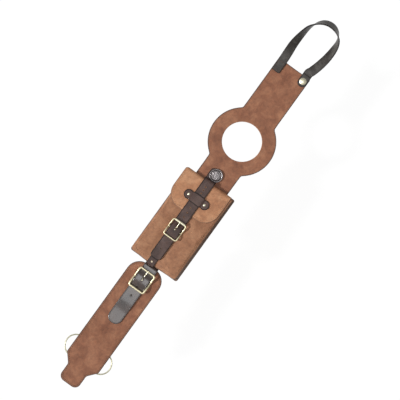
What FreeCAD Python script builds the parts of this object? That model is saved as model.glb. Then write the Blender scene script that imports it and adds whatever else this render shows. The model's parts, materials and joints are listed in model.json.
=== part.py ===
import FreeCAD, Part
import math
import os

# Leather strap for a motorcycle fuel tank, lying flat on its back. Millimetres.
# X runs across the strap, Y runs along it towards the neck loop, Z points up.
# The origin is the centre of the filler-cap hole, on the underside of the tank panel.

V = FreeCAD.Vector
ALONG_X = V(1, 0, 0)
UP = V(0, 0, 1)
FAR = 1000.0                 # longer than the whole strap, for cutting tools

# ---- driving dimensions ----
PANEL_WIDTH = 81.0
PANEL_THICK = 4.0
PANEL_TOP = 190.0            # edge next to the neck loop
PANEL_FOOT = -300.0          # hidden end behind the pouch
CAP_HOLE_R = 42.0
CAP_RING_R = 72.0
TOP_EDGE_DIP = 1.5           # the top edge is slightly hollow

LOOP_THICK = 3.0
LOOP_WIDTH = 20.0
LOOP_CREASE_Y = 191.0        # line where the loop bends off the panel
CREASE_GAP = 3.0             # each side of a bend stops this far from its bend line

POUCH_X = 0.0
POUCH_WIDTH = 119.0
POUCH_TOP = -108.4
POUCH_BOTTOM = -319.0
POUCH_LEATHER = 2.2
POUCH_TOP_DEPTH = 9.0
POUCH_BOTTOM_DEPTH = 22.0

CLOSURE_X = -6.0             # the closure runs a little left of the centre line
CLOSURE_WIDTH = 25.4
CLOSURE_THICK = 2.4
FLAP_WIDTH = 115.0
FLAP_LENGTH = 81.5
FLAP_CORNER_R = 34.0
FLAP_THICK = 2.2

CONCHO_X = -2.0
CONCHO_Y = -89.5
CONCHO_R = 14.5

KEEPER_ALONG = -46.0         # distance from the pouch top, along the front
KEEPER_WIDTH = 61.0
KEEPER_EAR_R = 10.5
KEEPER_RIVET_X = 20.0

SMALL_BUCKLE_ALONG = -123.5
SMALL_BUCKLE_WIDTH = 34.5
SMALL_BUCKLE_LENGTH = 41.0
SMALL_WIRE_R = 1.6
SMALL_CHAPE_WIDTH = 18.0
CLOSURE_END_ALONG = -197.0

LARGE_BUCKLE_Y = -358.0
LARGE_BUCKLE_WIDTH = 40.5
LARGE_BUCKLE_LENGTH = 48.0
LARGE_WIRE_R = 2.1
LARGE_CHAPE_WIDTH = 27.0
LINK_WIDTH = 31.75
LINK_THICK = 3.0
LINK_END_Y = -467.0

LOWER_TOP = -323.5
LOWER_CORNER_R = 30.0
LOWER_SHOULDER_Y = -569.0
LOWER_NECK_Y = -589.0
LOWER_END = -624.0
TAB_WIDTH = 47.0
TAB_CORNER_R = 13.0
LINING_THICK = 1.5
RING_RISE = 6.8              # the panel arches this high over the rings

RING_R = 23.5                # centre line of the ring wire
RING_WIRE_R = 1.5
RING_X = 31.5
RING_Y = -550.0

# ---- fits and small hardware ----
CLEAR = 0.05                 # faces that lie on each other
SHAFT_CLEAR = 0.08           # radial, for pieces that turn
CHAPE_THICK = 1.8
CENTRE_BAR_R = 1.4
FOLD_R = CENTRE_BAR_R + SHAFT_CLEAR
CENTRE_BAR_Z = CLEAR + CHAPE_THICK + FOLD_R
ROCK_CLEAR = 1.1             # room between a strap and the buckle's end bars
RIVET_HEAD_R = 3.5
RIVET_SHANK_R = 1.6
RIVET_HEAD = 0.9

# ---- derived places ----
POUCH_TOP_Z = PANEL_THICK + POUCH_TOP_DEPTH
POUCH_SLOPE = math.atan2(POUCH_BOTTOM_DEPTH - POUCH_TOP_DEPTH, POUCH_TOP - POUCH_BOTTOM)
FRONT_LENGTH = (POUCH_TOP - POUCH_BOTTOM) / math.cos(POUCH_SLOPE)
RING_Z = RING_RISE - 0.9 - RING_WIRE_R


def box(x0, x1, y0, y1, z0, z1):
    return Part.makeBox(x1 - x0, y1 - y0, z1 - z0, V(x0, y0, z0))


def disc(radius, z0, z1, x=0.0, y=0.0):
    return Part.makeCylinder(radius, z1 - z0, V(x, y, z0))


def rounded_edges(shape, radius, keep):
    """Round the vertical edges whose first end satisfies keep."""
    edges = []
    for edge in shape.Edges:
        ends = [vertex.Point for vertex in edge.Vertexes]
        if len(ends) == 2 and (ends[0] - ends[1]).cross(UP).Length < 1e-6 and keep(ends[0]):
            edges.append(edge)
    return shape.makeFillet(radius, edges)


def path(corners, radius):
    """Open wire through the corners, with each inner corner rounded."""
    edges = []
    start = corners[0]
    for before, corner, after in zip(corners, corners[1:], corners[2:]):
        back = (before - corner).normalize()
        onward = (after - corner).normalize()
        half_angle = back.getAngle(onward) / 2
        reach = radius / math.tan(half_angle)
        bisector = (back + onward).normalize()
        enter = corner + back * reach
        leave = corner + onward * reach
        middle = corner + bisector * (radius / math.sin(half_angle) - radius)
        edges.append(Part.LineSegment(start, enter).toShape())
        edges.append(Part.Arc(enter, middle, leave).toShape())
        start = leave
    edges.append(Part.LineSegment(start, corners[-1]).toShape())
    return Part.Wire(edges)


def strip(corners, radius, thick, x, width):
    """Leather strip of constant thickness whose side view follows the corner points (y, z)."""
    centre = path([V(x - width / 2, y, z) for y, z in corners], radius)
    face = centre.makeOffset2D(-thick / 2, 0, False, True).makeOffset2D(thick, 0, True, True)
    return face.extrude(V(width, 0, 0))


def rounded_tip(strap, x, y_end, width, radius):
    """Cut a strap's end to a round tip that reaches y_end."""
    keep = box(x - width / 2, x + width / 2, y_end, y_end + FAR, -FAR, FAR)
    keep = rounded_edges(keep, radius, lambda p: p.y < y_end + 1)
    return strap.common(keep)


def on_front(shape):
    """Carry a shape from the pouch front's own frame (y along the front, z off it) to its place."""
    placed = shape.copy()
    placed.translate(V(0, POUCH_TOP, POUCH_TOP_Z))
    placed.rotate(V(0, POUCH_TOP, POUCH_TOP_Z), ALONG_X, -math.degrees(POUCH_SLOPE))
    return placed


def rivet(x, y, z_low, z_high, head_r=RIVET_HEAD_R, shank_r=RIVET_SHANK_R):
    """Flat rivet: a head at each end of a shank, with the heads inside z_low and z_high."""
    low = disc(head_r, z_low, z_low + RIVET_HEAD, x, y)
    high = disc(head_r, z_high - RIVET_HEAD, z_high, x, y)
    shank = disc(shank_r, z_low, z_high, x, y)
    return low.fuse([shank, high]).removeSplitter()


def rivet_seat(x, y, z_low, z_high, head_r=RIVET_HEAD_R, shank_r=RIVET_SHANK_R):
    """The room that a rivet takes in the leather."""
    depth = RIVET_HEAD + CLEAR
    low = disc(head_r + CLEAR, z_low - depth, z_low + depth, x, y)
    high = disc(head_r + CLEAR, z_high - depth, z_high + depth, x, y)
    shank = disc(shank_r + CLEAR, z_low, z_high, x, y)
    return low.fuse([shank, high])


# ---- tank panel ----
LINK_RIVETS = [(-9.0, -282.0), (9.0, -282.0), (-9.0, -266.0), (9.0, -266.0)]
POUCH_RIVETS = [(-26.0, -128.0), (26.0, -128.0), (-30.0, -236.0), (30.0, -236.0)]
LINK_RECESS_TOP = -256.0
LINK_RECESS_Z = 1.0
SNAP_Y = 177.0
SNAP_X = 29.5
ANCHOR_X = -30.5
SNAP_TAB_END = 165.0
ANCHOR_END = 160.5
ANCHOR_CORNER_R = 3.0
SNAP_TAB_CORNER_R = 9.0
STUD_FLANGE_R = 5.0
STUD_FLANGE_Z = 3.2
POST_FLANGE_R = 4.5
POST_R = 1.8
SCREW_HEAD_R = 5.0
SCREW_SHANK_R = 2.0


def tank_panel():
    """Long panel with the ring round the filler cap."""
    half = PANEL_WIDTH / 2
    strap = box(-half, half, PANEL_FOOT, PANEL_TOP, 0, PANEL_THICK)
    panel = strap.fuse(disc(CAP_RING_R, 0, PANEL_THICK)).removeSplitter()
    meet_y = math.sqrt(CAP_RING_R**2 - half**2)
    panel = rounded_edges(panel, 5.0, lambda p: abs(abs(p.y) - meet_y) < 1)
    dip_r = (half**2 + TOP_EDGE_DIP**2) / (2 * TOP_EDGE_DIP)
    dip = disc(dip_r, -1, PANEL_THICK + 1, 0, PANEL_TOP - TOP_EDGE_DIP + dip_r)
    tools = [dip, disc(CAP_HOLE_R, -1, PANEL_THICK + 1)]
    recess_half = LINK_WIDTH / 2 + CLEAR
    tools.append(box(-recess_half, recess_half, PANEL_FOOT - 1, LINK_RECESS_TOP, LINK_RECESS_Z, 9))
    for x, y in LINK_RIVETS:
        tools.append(rivet_seat(x, y, 0.1, PANEL_THICK - 0.1))
    for x, y in POUCH_RIVETS:
        tools.append(rivet_seat(x, y, 0.1, PANEL_THICK + POUCH_LEATHER + 1))
    tools.append(disc(POST_FLANGE_R + CLEAR, -1, 0.8, SNAP_X, SNAP_Y))
    tools.append(disc(POST_R + CLEAR, 0, PANEL_THICK, SNAP_X, SNAP_Y))
    tools.append(disc(STUD_FLANGE_R + CLEAR, STUD_FLANGE_Z - CLEAR, PANEL_THICK + 1, SNAP_X, SNAP_Y))
    tools.append(disc(SCREW_HEAD_R + CLEAR, -1, 1.3, CONCHO_X, CONCHO_Y))
    tools.append(disc(SCREW_SHANK_R + CLEAR, 0, PANEL_THICK + 1, CONCHO_X, CONCHO_Y))
    return panel.cut(tools)


# ---- neck loop ----
# Each station: x, y of the strap's centre line, and its roll about that line. Roll 0 lies flat
# with the grain side up, 90 stands on edge, and more shows the flesh side.
LOOP_STATIONS = [
    (ANCHOR_X, 0.0, 0), (-31.3, 14.0, 9), (-32.2, 37.0, 30), (-29.8, 62.0, 54), (-26.0, 81.0, 74),
    (-17.5, 97.0, 104), (-7.0, 107.5, 124), (5.5, 112.3, 132), (19.0, 111.3, 128),
    (31.0, 104.5, 108), (39.5, 93.0, 78), (42.8, 76.0, 50), (42.2, 54.0, 32),
    (38.6, 32.0, 17), (33.0, 12.0, 5), (SNAP_X, 0.0, 0),
]
LOOP_START_Y = LOOP_CREASE_Y + CREASE_GAP
LOOP_LOW_Z = PANEL_THICK + CLEAR + LOOP_THICK / 2
LOOP_STAND_Z = 11.0


def loop_section(x, y, roll, along):
    """Rectangle across the strap: flat stations lie at the panel's level, rolled ones stand."""
    turn = math.radians(roll)
    outward = along.cross(UP).normalize() * -1
    width_way = outward * math.cos(turn) + UP * math.sin(turn)
    thick_way = outward * -math.sin(turn) + UP * math.cos(turn)
    lift = LOOP_LOW_Z + (LOOP_STAND_Z - LOOP_LOW_Z) * math.sin(turn)
    centre = V(x, LOOP_START_Y + y, lift)
    a = width_way * (LOOP_WIDTH / 2)
    b = thick_way * (LOOP_THICK / 2)
    corners = [centre - a - b, centre + a - b, centre + a + b, centre - a + b]
    return Part.makePolygon(corners + corners[:1])


def loop_strap():
    """The loop itself, lofted through its stations."""
    sections = []
    for i, (x, y, roll) in enumerate(LOOP_STATIONS):
        before = LOOP_STATIONS[max(i - 1, 0)]
        after = LOOP_STATIONS[min(i + 1, len(LOOP_STATIONS) - 1)]
        along = V(after[0] - before[0], after[1] - before[1], 0).normalize()
        if y == 0:
            along = V(0, math.copysign(1, along.y), 0)
        sections.append(loop_section(x, y, roll, along))
    return Part.makeLoft(sections, True, False)


def loop_end(x, y_end, corner_r):
    """Flat end of the neck loop, lying on the panel."""
    z_low = PANEL_THICK + CLEAR
    half = LOOP_WIDTH / 2
    end = box(x - half, x + half, y_end, LOOP_CREASE_Y - CREASE_GAP, z_low, z_low + LOOP_THICK)
    return rounded_edges(end, corner_r, lambda p: p.y < y_end + 1)


def loop_anchor_tab():
    return loop_end(ANCHOR_X, ANCHOR_END, ANCHOR_CORNER_R)


def stitch_run(points, pitch, length, width, height):
    """Short thread stitches, end to end along a line of points, lying on z = 0."""
    stitches = []
    for start, end in zip(points, points[1:]):
        span = end - start
        count = max(1, round(span.Length / pitch))
        angle = math.degrees(math.atan2(span.y, span.x))
        for i in range(count):
            middle = start + span * ((i + 0.5) / count)
            stitch = Part.makeBox(length, width, height, V(-length / 2, -width / 2, 0))
            stitch.rotate(V(0, 0, 0), UP, angle)
            stitch.translate(middle)
            stitches.append(stitch)
    return stitches


def loop_stitching():
    """A sewn box on the left end."""
    inset = 3.0
    top = PANEL_THICK + 2 * CLEAR + LOOP_THICK
    x0 = ANCHOR_X - LOOP_WIDTH / 2 + inset
    x1 = ANCHOR_X + LOOP_WIDTH / 2 - inset
    y0 = ANCHOR_END + inset
    y1 = LOOP_CREASE_Y - CREASE_GAP - inset
    corners = [V(x0, y0, top), V(x1, y0, top), V(x1, y1, top), V(x0, y1, top), V(x0, y0, top)]
    return Part.makeCompound(stitch_run(corners, 3.6, 2.4, 0.8, 0.5))


# ---- press stud ----
SNAP_CAP_R = 7.5
SNAP_CAP_RISE = 2.2
SOCKET_R = 5.8
SOCKET_TOP = 6.2
SOCKET_WELL_R = 3.5
STUD_DOME_R = 2.9


def snap_tab():
    """End of the loop that snaps onto the panel."""
    tab = loop_end(SNAP_X, SNAP_TAB_END, SNAP_TAB_CORNER_R)
    well = disc(SOCKET_R + CLEAR, 0, SOCKET_TOP + CLEAR, SNAP_X, SNAP_Y)
    barrel = disc(POST_R + CLEAR, 0, 20, SNAP_X, SNAP_Y)
    return tab.cut([well, barrel])


def snap_cap():
    """Domed cap with the barrel that passes through the strap."""
    base = PANEL_THICK + 2 * CLEAR + LOOP_THICK
    sphere_r = (SNAP_CAP_R**2 + SNAP_CAP_RISE**2) / (2 * SNAP_CAP_RISE)
    ball = Part.makeSphere(sphere_r, V(SNAP_X, SNAP_Y, base + SNAP_CAP_RISE - sphere_r))
    dome = ball.common(disc(SNAP_CAP_R, base, base + SNAP_CAP_RISE, SNAP_X, SNAP_Y))
    barrel = disc(POST_R, SOCKET_TOP + CLEAR, base + 0.5, SNAP_X, SNAP_Y)
    return dome.fuse(barrel).removeSplitter()


def snap_socket():
    """Spring socket in the loop's end."""
    body = disc(SOCKET_R, PANEL_THICK + 2 * CLEAR, SOCKET_TOP, SNAP_X, SNAP_Y)
    return body.cut(disc(SOCKET_WELL_R, 0, SOCKET_TOP - 0.3, SNAP_X, SNAP_Y))


def snap_stud():
    """Stud in the panel that the socket grips."""
    flange = disc(STUD_FLANGE_R, STUD_FLANGE_Z, PANEL_THICK, SNAP_X, SNAP_Y)
    dome = disc(STUD_DOME_R, PANEL_THICK - 0.2, PANEL_THICK + 1.5, SNAP_X, SNAP_Y)
    dome = dome.makeFillet(0.7, [dome.Edges[0]])
    stud = flange.fuse(dome).removeSplitter()
    return stud.cut(disc(POST_R + CLEAR, 0, PANEL_THICK, SNAP_X, SNAP_Y))


def snap_post():
    """Flanged post that holds the stud from the underside."""
    flange = disc(POST_FLANGE_R, 0.1, 0.75, SNAP_X, SNAP_Y)
    barrel = disc(POST_R, 0.1, PANEL_THICK - CLEAR, SNAP_X, SNAP_Y)
    return flange.fuse(barrel).removeSplitter()


# ---- concho ----
CONCHO_Z = PANEL_THICK + 2 * CLEAR + CLOSURE_THICK
CONCHO_RIM = 1.6
CONCHO_RISE = 4.4
CONCHO_SCALLOPS = 20


def concho():
    """Domed button with a scalloped rim and a bore for its screw."""
    dome_r = CONCHO_R - 2.2
    rise = CONCHO_RISE - CONCHO_RIM
    sphere_r = (dome_r**2 + rise**2) / (2 * rise)
    ball = Part.makeSphere(sphere_r, V(0, 0, CONCHO_RISE - sphere_r))
    dome = ball.common(disc(dome_r, CONCHO_RIM - 0.5, CONCHO_RISE + 1))
    body = disc(CONCHO_R, 0, CONCHO_RIM).fuse(dome).removeSplitter()
    cuts = [disc(SCREW_SHANK_R + CLEAR, -1, 2.6)]
    for i in range(CONCHO_SCALLOPS):
        angle = 2 * math.pi * i / CONCHO_SCALLOPS
        reach = CONCHO_R + 0.5
        cuts.append(disc(1.0, -1, 5, reach * math.cos(angle), reach * math.sin(angle)))
    body = body.cut(cuts)
    body.translate(V(CONCHO_X, CONCHO_Y, CONCHO_Z))
    return body


def concho_screw():
    """Slotted screw from the underside."""
    head = disc(SCREW_HEAD_R, 0.1, 1.25, CONCHO_X, CONCHO_Y)
    slot = box(CONCHO_X - 6, CONCHO_X + 6, CONCHO_Y - 0.5, CONCHO_Y + 0.5, 0, 0.6)
    shank = disc(SCREW_SHANK_R, 0.7, CONCHO_Z + 2.4, CONCHO_X, CONCHO_Y)
    return head.cut(slot).fuse(shank).removeSplitter()


# ---- closure strap ----
CLOSURE_HOLE_R = 1.6
CLOSURE_HOLES = [-14.0, -22.0, -30.0, -68.0, -80.0, -91.0, -172.0]
RISER_Y = POUCH_TOP + 2.5
CLOSURE_CORNER_R = 9.0
STRAP_ON_FLAP = 3 * CLEAR + FLAP_THICK + CLOSURE_THICK / 2


def closure_strap_anchor():
    """End of the closure strap, clamped under the concho."""
    low = PANEL_THICK + CLEAR
    half = CLOSURE_WIDTH / 2
    start = RISER_Y + 3.4
    end = box(CLOSURE_X - half, CLOSURE_X + half, start, CONCHO_Y + 12, low, low + CLOSURE_THICK)
    end = rounded_edges(end, CLOSURE_CORNER_R, lambda p: p.y > CONCHO_Y)
    return end.cut(disc(SCREW_SHANK_R + CLEAR, 0, 20, CONCHO_X, CONCHO_Y))


def arch(along, strap_thick, low_z):
    """Corner points where a strap climbs over a buckle's centre bar."""
    top_z = CENTRE_BAR_Z + FOLD_R + CHAPE_THICK + 2 * CLEAR + strap_thick / 2
    return [(along + 19.0, low_z), (along + 6.5, top_z), (along - 6.5, top_z), (along - 19.0, low_z)]


def prong_slot(x, along, reach):
    """Oblong hole where the prong comes up through the strap, as far as reach from the centre bar."""
    half = 1.6
    slot = box(x - half, x + half, along + 3.5, along + reach, 0, 20)
    return rounded_edges(slot, half - 0.02, lambda p: True)


def closure_strap():
    """From the bend at the pouch top, over the flap and through the small buckle to its tip."""
    front = arch(SMALL_BUCKLE_ALONG, CLOSURE_THICK, STRAP_ON_FLAP)
    corners = [(POUCH_TOP + 5.4, PANEL_THICK + CLEAR + CLOSURE_THICK / 2)]
    corners.append((RISER_Y, corners[0][1]))
    turn_z = STRAP_ON_FLAP + POUCH_TOP_Z - 0.15
    corners.append((RISER_Y, turn_z))
    flat = [(y, z) for y, z in front] + [(CLOSURE_END_ALONG - 1, STRAP_ON_FLAP)]
    for y, z in flat:
        point = on_front(Part.Vertex(0, y, z)).Point
        corners.append((point.y, point.z))
    centre = path([V(CLOSURE_X - CLOSURE_WIDTH / 2, y, z) for y, z in corners], 2.0)
    face = centre.makeOffset2D(-CLOSURE_THICK / 2, 0, False, True)
    face = face.makeOffset2D(CLOSURE_THICK, 0, True, True)
    strap = face.extrude(V(CLOSURE_WIDTH, 0, 0))
    tip_y = on_front(Part.Vertex(0, CLOSURE_END_ALONG, 0)).Point.y
    strap = rounded_tip(strap, CLOSURE_X, tip_y, CLOSURE_WIDTH, 9.5)
    tools = [on_front(prong_slot(CLOSURE_X, SMALL_BUCKLE_ALONG, 12.5))]
    for along in CLOSURE_HOLES:
        tools.append(on_front(disc(CLOSURE_HOLE_R, -1, 20, CLOSURE_X, along)))
    return strap.cut(tools)


# ---- pouch ----
MOUTH_SETBACK = 5.0          # the front and the walls stop this far below the back's edge
POUCH_CORNER_R = 4.0
LIP_RISE = 3.2
FLAP_LIP_DROP = 1.2
KEEPER_SHANK_R = 1.2
KEEPER_BURR_R = 3.0
BURR_TOP = 0.7
STITCH_WIDTH = 0.8
STITCH_HEIGHT = 0.4


def pouch_back():
    """Back leather with a short lip at the mouth, where the flap begins."""
    half = POUCH_WIDTH / 2
    low = PANEL_THICK + CLEAR
    back = box(POUCH_X - half, POUCH_X + half, POUCH_BOTTOM, POUCH_TOP, low, low + POUCH_LEATHER)
    back = rounded_edges(back, POUCH_CORNER_R, lambda p: p.y < POUCH_BOTTOM + 1)
    lip_left = max(CLOSURE_X - FLAP_WIDTH / 2, -half)
    lip_right = CLOSURE_X + FLAP_WIDTH / 2
    lip = box(lip_left, lip_right, POUCH_TOP - FLAP_THICK, POUCH_TOP, low, low + LIP_RISE)
    back = back.fuse(lip).removeSplitter()
    tools = [rivet_seat(x, y, 0.1, low + POUCH_LEATHER + 1) for x, y in POUCH_RIVETS]
    return back.cut(tools)


def wedge(inset_x, y_top, y_bottom, z_low, front_gap):
    """Wedge between the pouch back and the sloping front, front_gap below its outer face."""
    half = POUCH_WIDTH / 2 - inset_x
    mouth_z = POUCH_TOP_Z - front_gap / math.cos(POUCH_SLOPE)
    high_top = mouth_z + (POUCH_TOP - y_top) * math.tan(POUCH_SLOPE)
    high_bottom = mouth_z + (POUCH_TOP - y_bottom) * math.tan(POUCH_SLOPE)
    corners = [(y_top, z_low), (y_bottom, z_low), (y_bottom, high_bottom), (y_top, high_top)]
    points = [V(POUCH_X - half, y, z) for y, z in corners]
    return Part.Face(Part.makePolygon(points + points[:1])).extrude(V(2 * half, 0, 0))


def pouch_gusset():
    """Folded side and bottom wall, open at the mouth."""
    low = PANEL_THICK + 2 * CLEAR + POUCH_LEATHER
    mouth = POUCH_TOP - MOUTH_SETBACK
    inset = 0.3
    outer = wedge(inset, mouth, POUCH_BOTTOM + inset, low, POUCH_LEATHER + CLEAR)
    outer = rounded_edges(outer, POUCH_CORNER_R, lambda p: p.y < POUCH_BOTTOM + 2)
    inner = wedge(POUCH_LEATHER, mouth + 1, POUCH_BOTTOM + POUCH_LEATHER, low - 1, 0)
    return outer.cut([inner, on_front(chape_bottom_rivet_seat())])


def pouch_front():
    """Sloping front of the pouch."""
    half = POUCH_WIDTH / 2
    front = box(POUCH_X - half, POUCH_X + half, -FRONT_LENGTH, -MOUTH_SETBACK, -POUCH_LEATHER, 0)
    front = rounded_edges(front, POUCH_CORNER_R, lambda p: p.y < -FRONT_LENGTH + 1)
    tools = [chape_seat(x, y) for x, y in SMALL_CHAPE_RIVETS]
    return on_front(front.cut(tools))


def flap_outline(z_low, z_high):
    """Flap with its two rounded lower corners."""
    half = FLAP_WIDTH / 2
    flap = box(CLOSURE_X - half, CLOSURE_X + half, -FLAP_LENGTH, 0, z_low, z_high)
    return rounded_edges(flap, FLAP_CORNER_R, lambda p: p.y < -FLAP_LENGTH + 1)


def pouch_flap():
    """Flap lying on the front, with the lip that turns down to the bend at the mouth."""
    half = FLAP_WIDTH / 2
    top = CLEAR + FLAP_THICK
    lip = box(CLOSURE_X - half, CLOSURE_X + half, -FLAP_THICK, 0, -FLAP_LIP_DROP, top)
    flap = flap_outline(CLEAR, top).fuse(lip).removeSplitter()
    seats = []
    for side in (-1, 1):
        x = CLOSURE_X + side * KEEPER_RIVET_X
        seats.append(disc(KEEPER_SHANK_R + CLEAR, -FLAP_LIP_DROP, 20, x, KEEPER_ALONG))
        seats.append(disc(KEEPER_BURR_R + CLEAR, -1, BURR_TOP + CLEAR, x, KEEPER_ALONG))
    return on_front(flap.cut(seats))


def mirrored_run(half_line, x_middle, pitch, length):
    """Stitches along a line given right of the middle, and along its mirror image."""
    stitches = []
    for side in (-1, 1):
        points = [V(x_middle + side * p.x, p.y, p.z) for p in half_line]
        stitches += stitch_run(points, pitch, length, STITCH_WIDTH, STITCH_HEIGHT)
    return stitches


def flap_stitching():
    """Row of stitches just inside the flap's edge."""
    inset = 4.0
    half = FLAP_WIDTH / 2 - inset
    low_y = -FLAP_LENGTH + inset
    corner = FLAP_CORNER_R - inset
    z = 2 * CLEAR + FLAP_THICK
    turns = 12
    line = [V(half, -6.0, z), V(half, low_y + corner, z)]
    for step in range(1, turns):
        angle = math.radians(90 * step / turns)
        x = half - corner + corner * math.cos(angle)
        line.append(V(x, low_y + corner - corner * math.sin(angle), z))
    line.append(V(CLOSURE_WIDTH / 2 + 1.0, low_y, z))
    return on_front(Part.makeCompound(mirrored_run(line, CLOSURE_X, 4.2, 2.8)))


def pouch_stitching():
    """Rows of stitches down both sides and along the bottom of the front."""
    inset = 3.5
    half = POUCH_WIDTH / 2 - inset
    top = -FLAP_LENGTH - 4.0
    low = -FRONT_LENGTH + inset
    gap = SMALL_CHAPE_WIDTH / 2 - CLOSURE_X + 1.5
    line = [V(half, top, CLEAR), V(half, low, CLEAR), V(gap, low, CLEAR)]
    return on_front(Part.makeCompound(mirrored_run(line, POUCH_X, 4.4, 3.0)))


def pouch_rivets():
    top = PANEL_THICK + CLEAR + POUCH_LEATHER + RIVET_HEAD
    return Part.makeCompound([rivet(x, y, 0.1, top) for x, y in POUCH_RIVETS])


# ---- keeper ----
def keeper_block(half_x, half_y):
    """Block round the keeper's middle."""
    x, y = CLOSURE_X, KEEPER_ALONG
    return box(x - half_x, x + half_x, y - half_y, y + half_y, -1, 20)


def closure_keeper():
    """Cross-shaped keeper: two round ears on the flap and a bridge over the strap."""
    ear_z = 2 * CLEAR + FLAP_THICK
    ear_thick = 2.0
    strap_top = STRAP_ON_FLAP + CLOSURE_THICK / 2
    step_x = CLOSURE_WIDTH / 2 + 0.3
    half = KEEPER_WIDTH / 2
    low = ear_z + ear_thick / 2
    high = strap_top + CLEAR + ear_thick / 2
    right = [(step_x + 0.4, high), (step_x + 1.6, low), (half + 1, low)]
    corners = [(-x, z) for x, z in reversed(right)] + right
    centre = path([V(CLOSURE_X + x, KEEPER_ALONG - 20, z) for x, z in corners], 1.05)
    face = centre.makeOffset2D(-ear_thick / 2, 0, False, True).makeOffset2D(ear_thick, 0, True, True)
    band = face.extrude(V(0, 40, 0))
    ear_x = half - KEEPER_EAR_R
    outline = keeper_block(ear_x, 9.0).fuse(keeper_block(13.5, 12.0))
    holes = []
    for side in (-1, 1):
        outline = outline.fuse(disc(KEEPER_EAR_R, -1, 20, CLOSURE_X + side * ear_x, KEEPER_ALONG))
        rivet_x = CLOSURE_X + side * KEEPER_RIVET_X
        holes.append(disc(KEEPER_SHANK_R + CLEAR, -1, 20, rivet_x, KEEPER_ALONG))
    return on_front(band.common(outline.removeSplitter()).cut(holes))


def keeper_rivets():
    """Domed brass heads with their shanks."""
    base = 3 * CLEAR + FLAP_THICK + 2.0
    rise = 1.4
    ball_r = 4.0
    rivets = []
    for side in (-1, 1):
        x = CLOSURE_X + side * KEEPER_RIVET_X
        ball = Part.makeSphere(ball_r, V(x, KEEPER_ALONG, base + rise - ball_r))
        head = ball.common(disc(2.9, base, base + 2, x, KEEPER_ALONG))
        shank = disc(KEEPER_SHANK_R, 0.1, base + 0.5, x, KEEPER_ALONG)
        rivets.append(head.fuse(shank).removeSplitter())
    return on_front(Part.makeCompound(rivets))


def keeper_burrs():
    """Washers under the rivets, let into the flap."""
    burrs = []
    for side in (-1, 1):
        x = CLOSURE_X + side * KEEPER_RIVET_X
        washer = disc(KEEPER_BURR_R, 0.1, BURR_TOP, x, KEEPER_ALONG)
        burrs.append(washer.cut(disc(KEEPER_SHANK_R + CLEAR, 0, 2, x, KEEPER_ALONG)))
    return on_front(Part.makeCompound(burrs))


# ---- buckles ----
# Each buckle is drawn at its own centre, with the surface it lies on at z = 0.
ROLLER_R = 2.7
SMALL_END_Z = STRAP_ON_FLAP + CLOSURE_THICK / 2 + ROCK_CLEAR + ROLLER_R - 0.5
LARGE_STRAP_Z = 2 * CLEAR + CHAPE_THICK + LINK_THICK / 2
LARGE_END_Z = LARGE_STRAP_Z + LINK_THICK / 2 + ROCK_CLEAR + LARGE_WIRE_R

FRAME_CORNER_R = 4.0


def frame_half(side, x, y, end_z):
    """One rail, its two corners and one end bar of a buckle frame, as edges."""
    corner_r = FRAME_CORNER_R
    turn = corner_r * (1 - math.sqrt(0.5))
    low = -side * y
    lift = side * corner_r
    way = V(0, -side, 0)
    rail = Part.BSplineCurve()
    heights = [(-low - lift, end_z), (0, CENTRE_BAR_Z), (low + lift, end_z)]
    stations = [V(side * x, at, z) for at, z in heights]
    rail.interpolate(Points=stations, InitialTangent=way, FinalTangent=way)
    edges = [rail.toShape()]
    ends = []
    for across in (side, -side):
        start = V(across * x, low + lift, end_z)
        middle = V(across * (x - turn), low + side * turn, end_z)
        stop = V(across * (x - corner_r), low, end_z)
        edges.append(Part.Arc(start, middle, stop).toShape())
        ends.append(stop)
    edges.append(Part.LineSegment(ends[0], ends[1]).toShape())
    return edges


def buckle_frame(width, length, wire_r, end_z):
    """Bowed wire frame: end bars high, side rails dipping to the centre bar."""
    x = width / 2 - wire_r
    y = length / 2 - wire_r
    edges = frame_half(1, x, y, end_z) + frame_half(-1, x, y, end_z)
    spine = Part.Wire(Part.__sortEdges__(edges))
    section = Part.Wire(Part.makeCircle(wire_r, V(0, -y, end_z), ALONG_X))
    frame = spine.makePipeShell([section], True, False)
    bar = Part.makeCylinder(CENTRE_BAR_R, 2 * x, V(-x, 0, CENTRE_BAR_Z), ALONG_X)
    return frame.fuse(bar)


def buckle_prong(length, wire_r, rest_r, end_z):
    """Prong: an eye round the centre bar and a tapered rod that lies on the top bar."""
    half = 1.5
    root_r = 1.25
    tip_r = 0.85
    eye_r = CENTRE_BAR_R + SHAFT_CLEAR
    centre = V(0, 0, CENTRE_BAR_Z)
    eye = Part.makeCylinder(eye_r + 1.1, 2 * half, centre - ALONG_X * half, ALONG_X)
    bar = V(0, length / 2 - wire_r, end_z) - centre
    lean = math.atan2(bar.z, bar.y) + math.asin((rest_r + root_r) / bar.Length)
    reach = bar.Length + 2.0
    way = V(0, math.cos(lean), math.sin(lean))
    rod = Part.makeCone(root_r, tip_r, reach, centre, way)
    end = Part.makeSphere(tip_r, centre + way * reach)
    bore = Part.makeCylinder(eye_r, 4 * half, centre - ALONG_X * 2 * half, ALONG_X)
    return eye.fuse([rod, end]).cut(bore)


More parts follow.
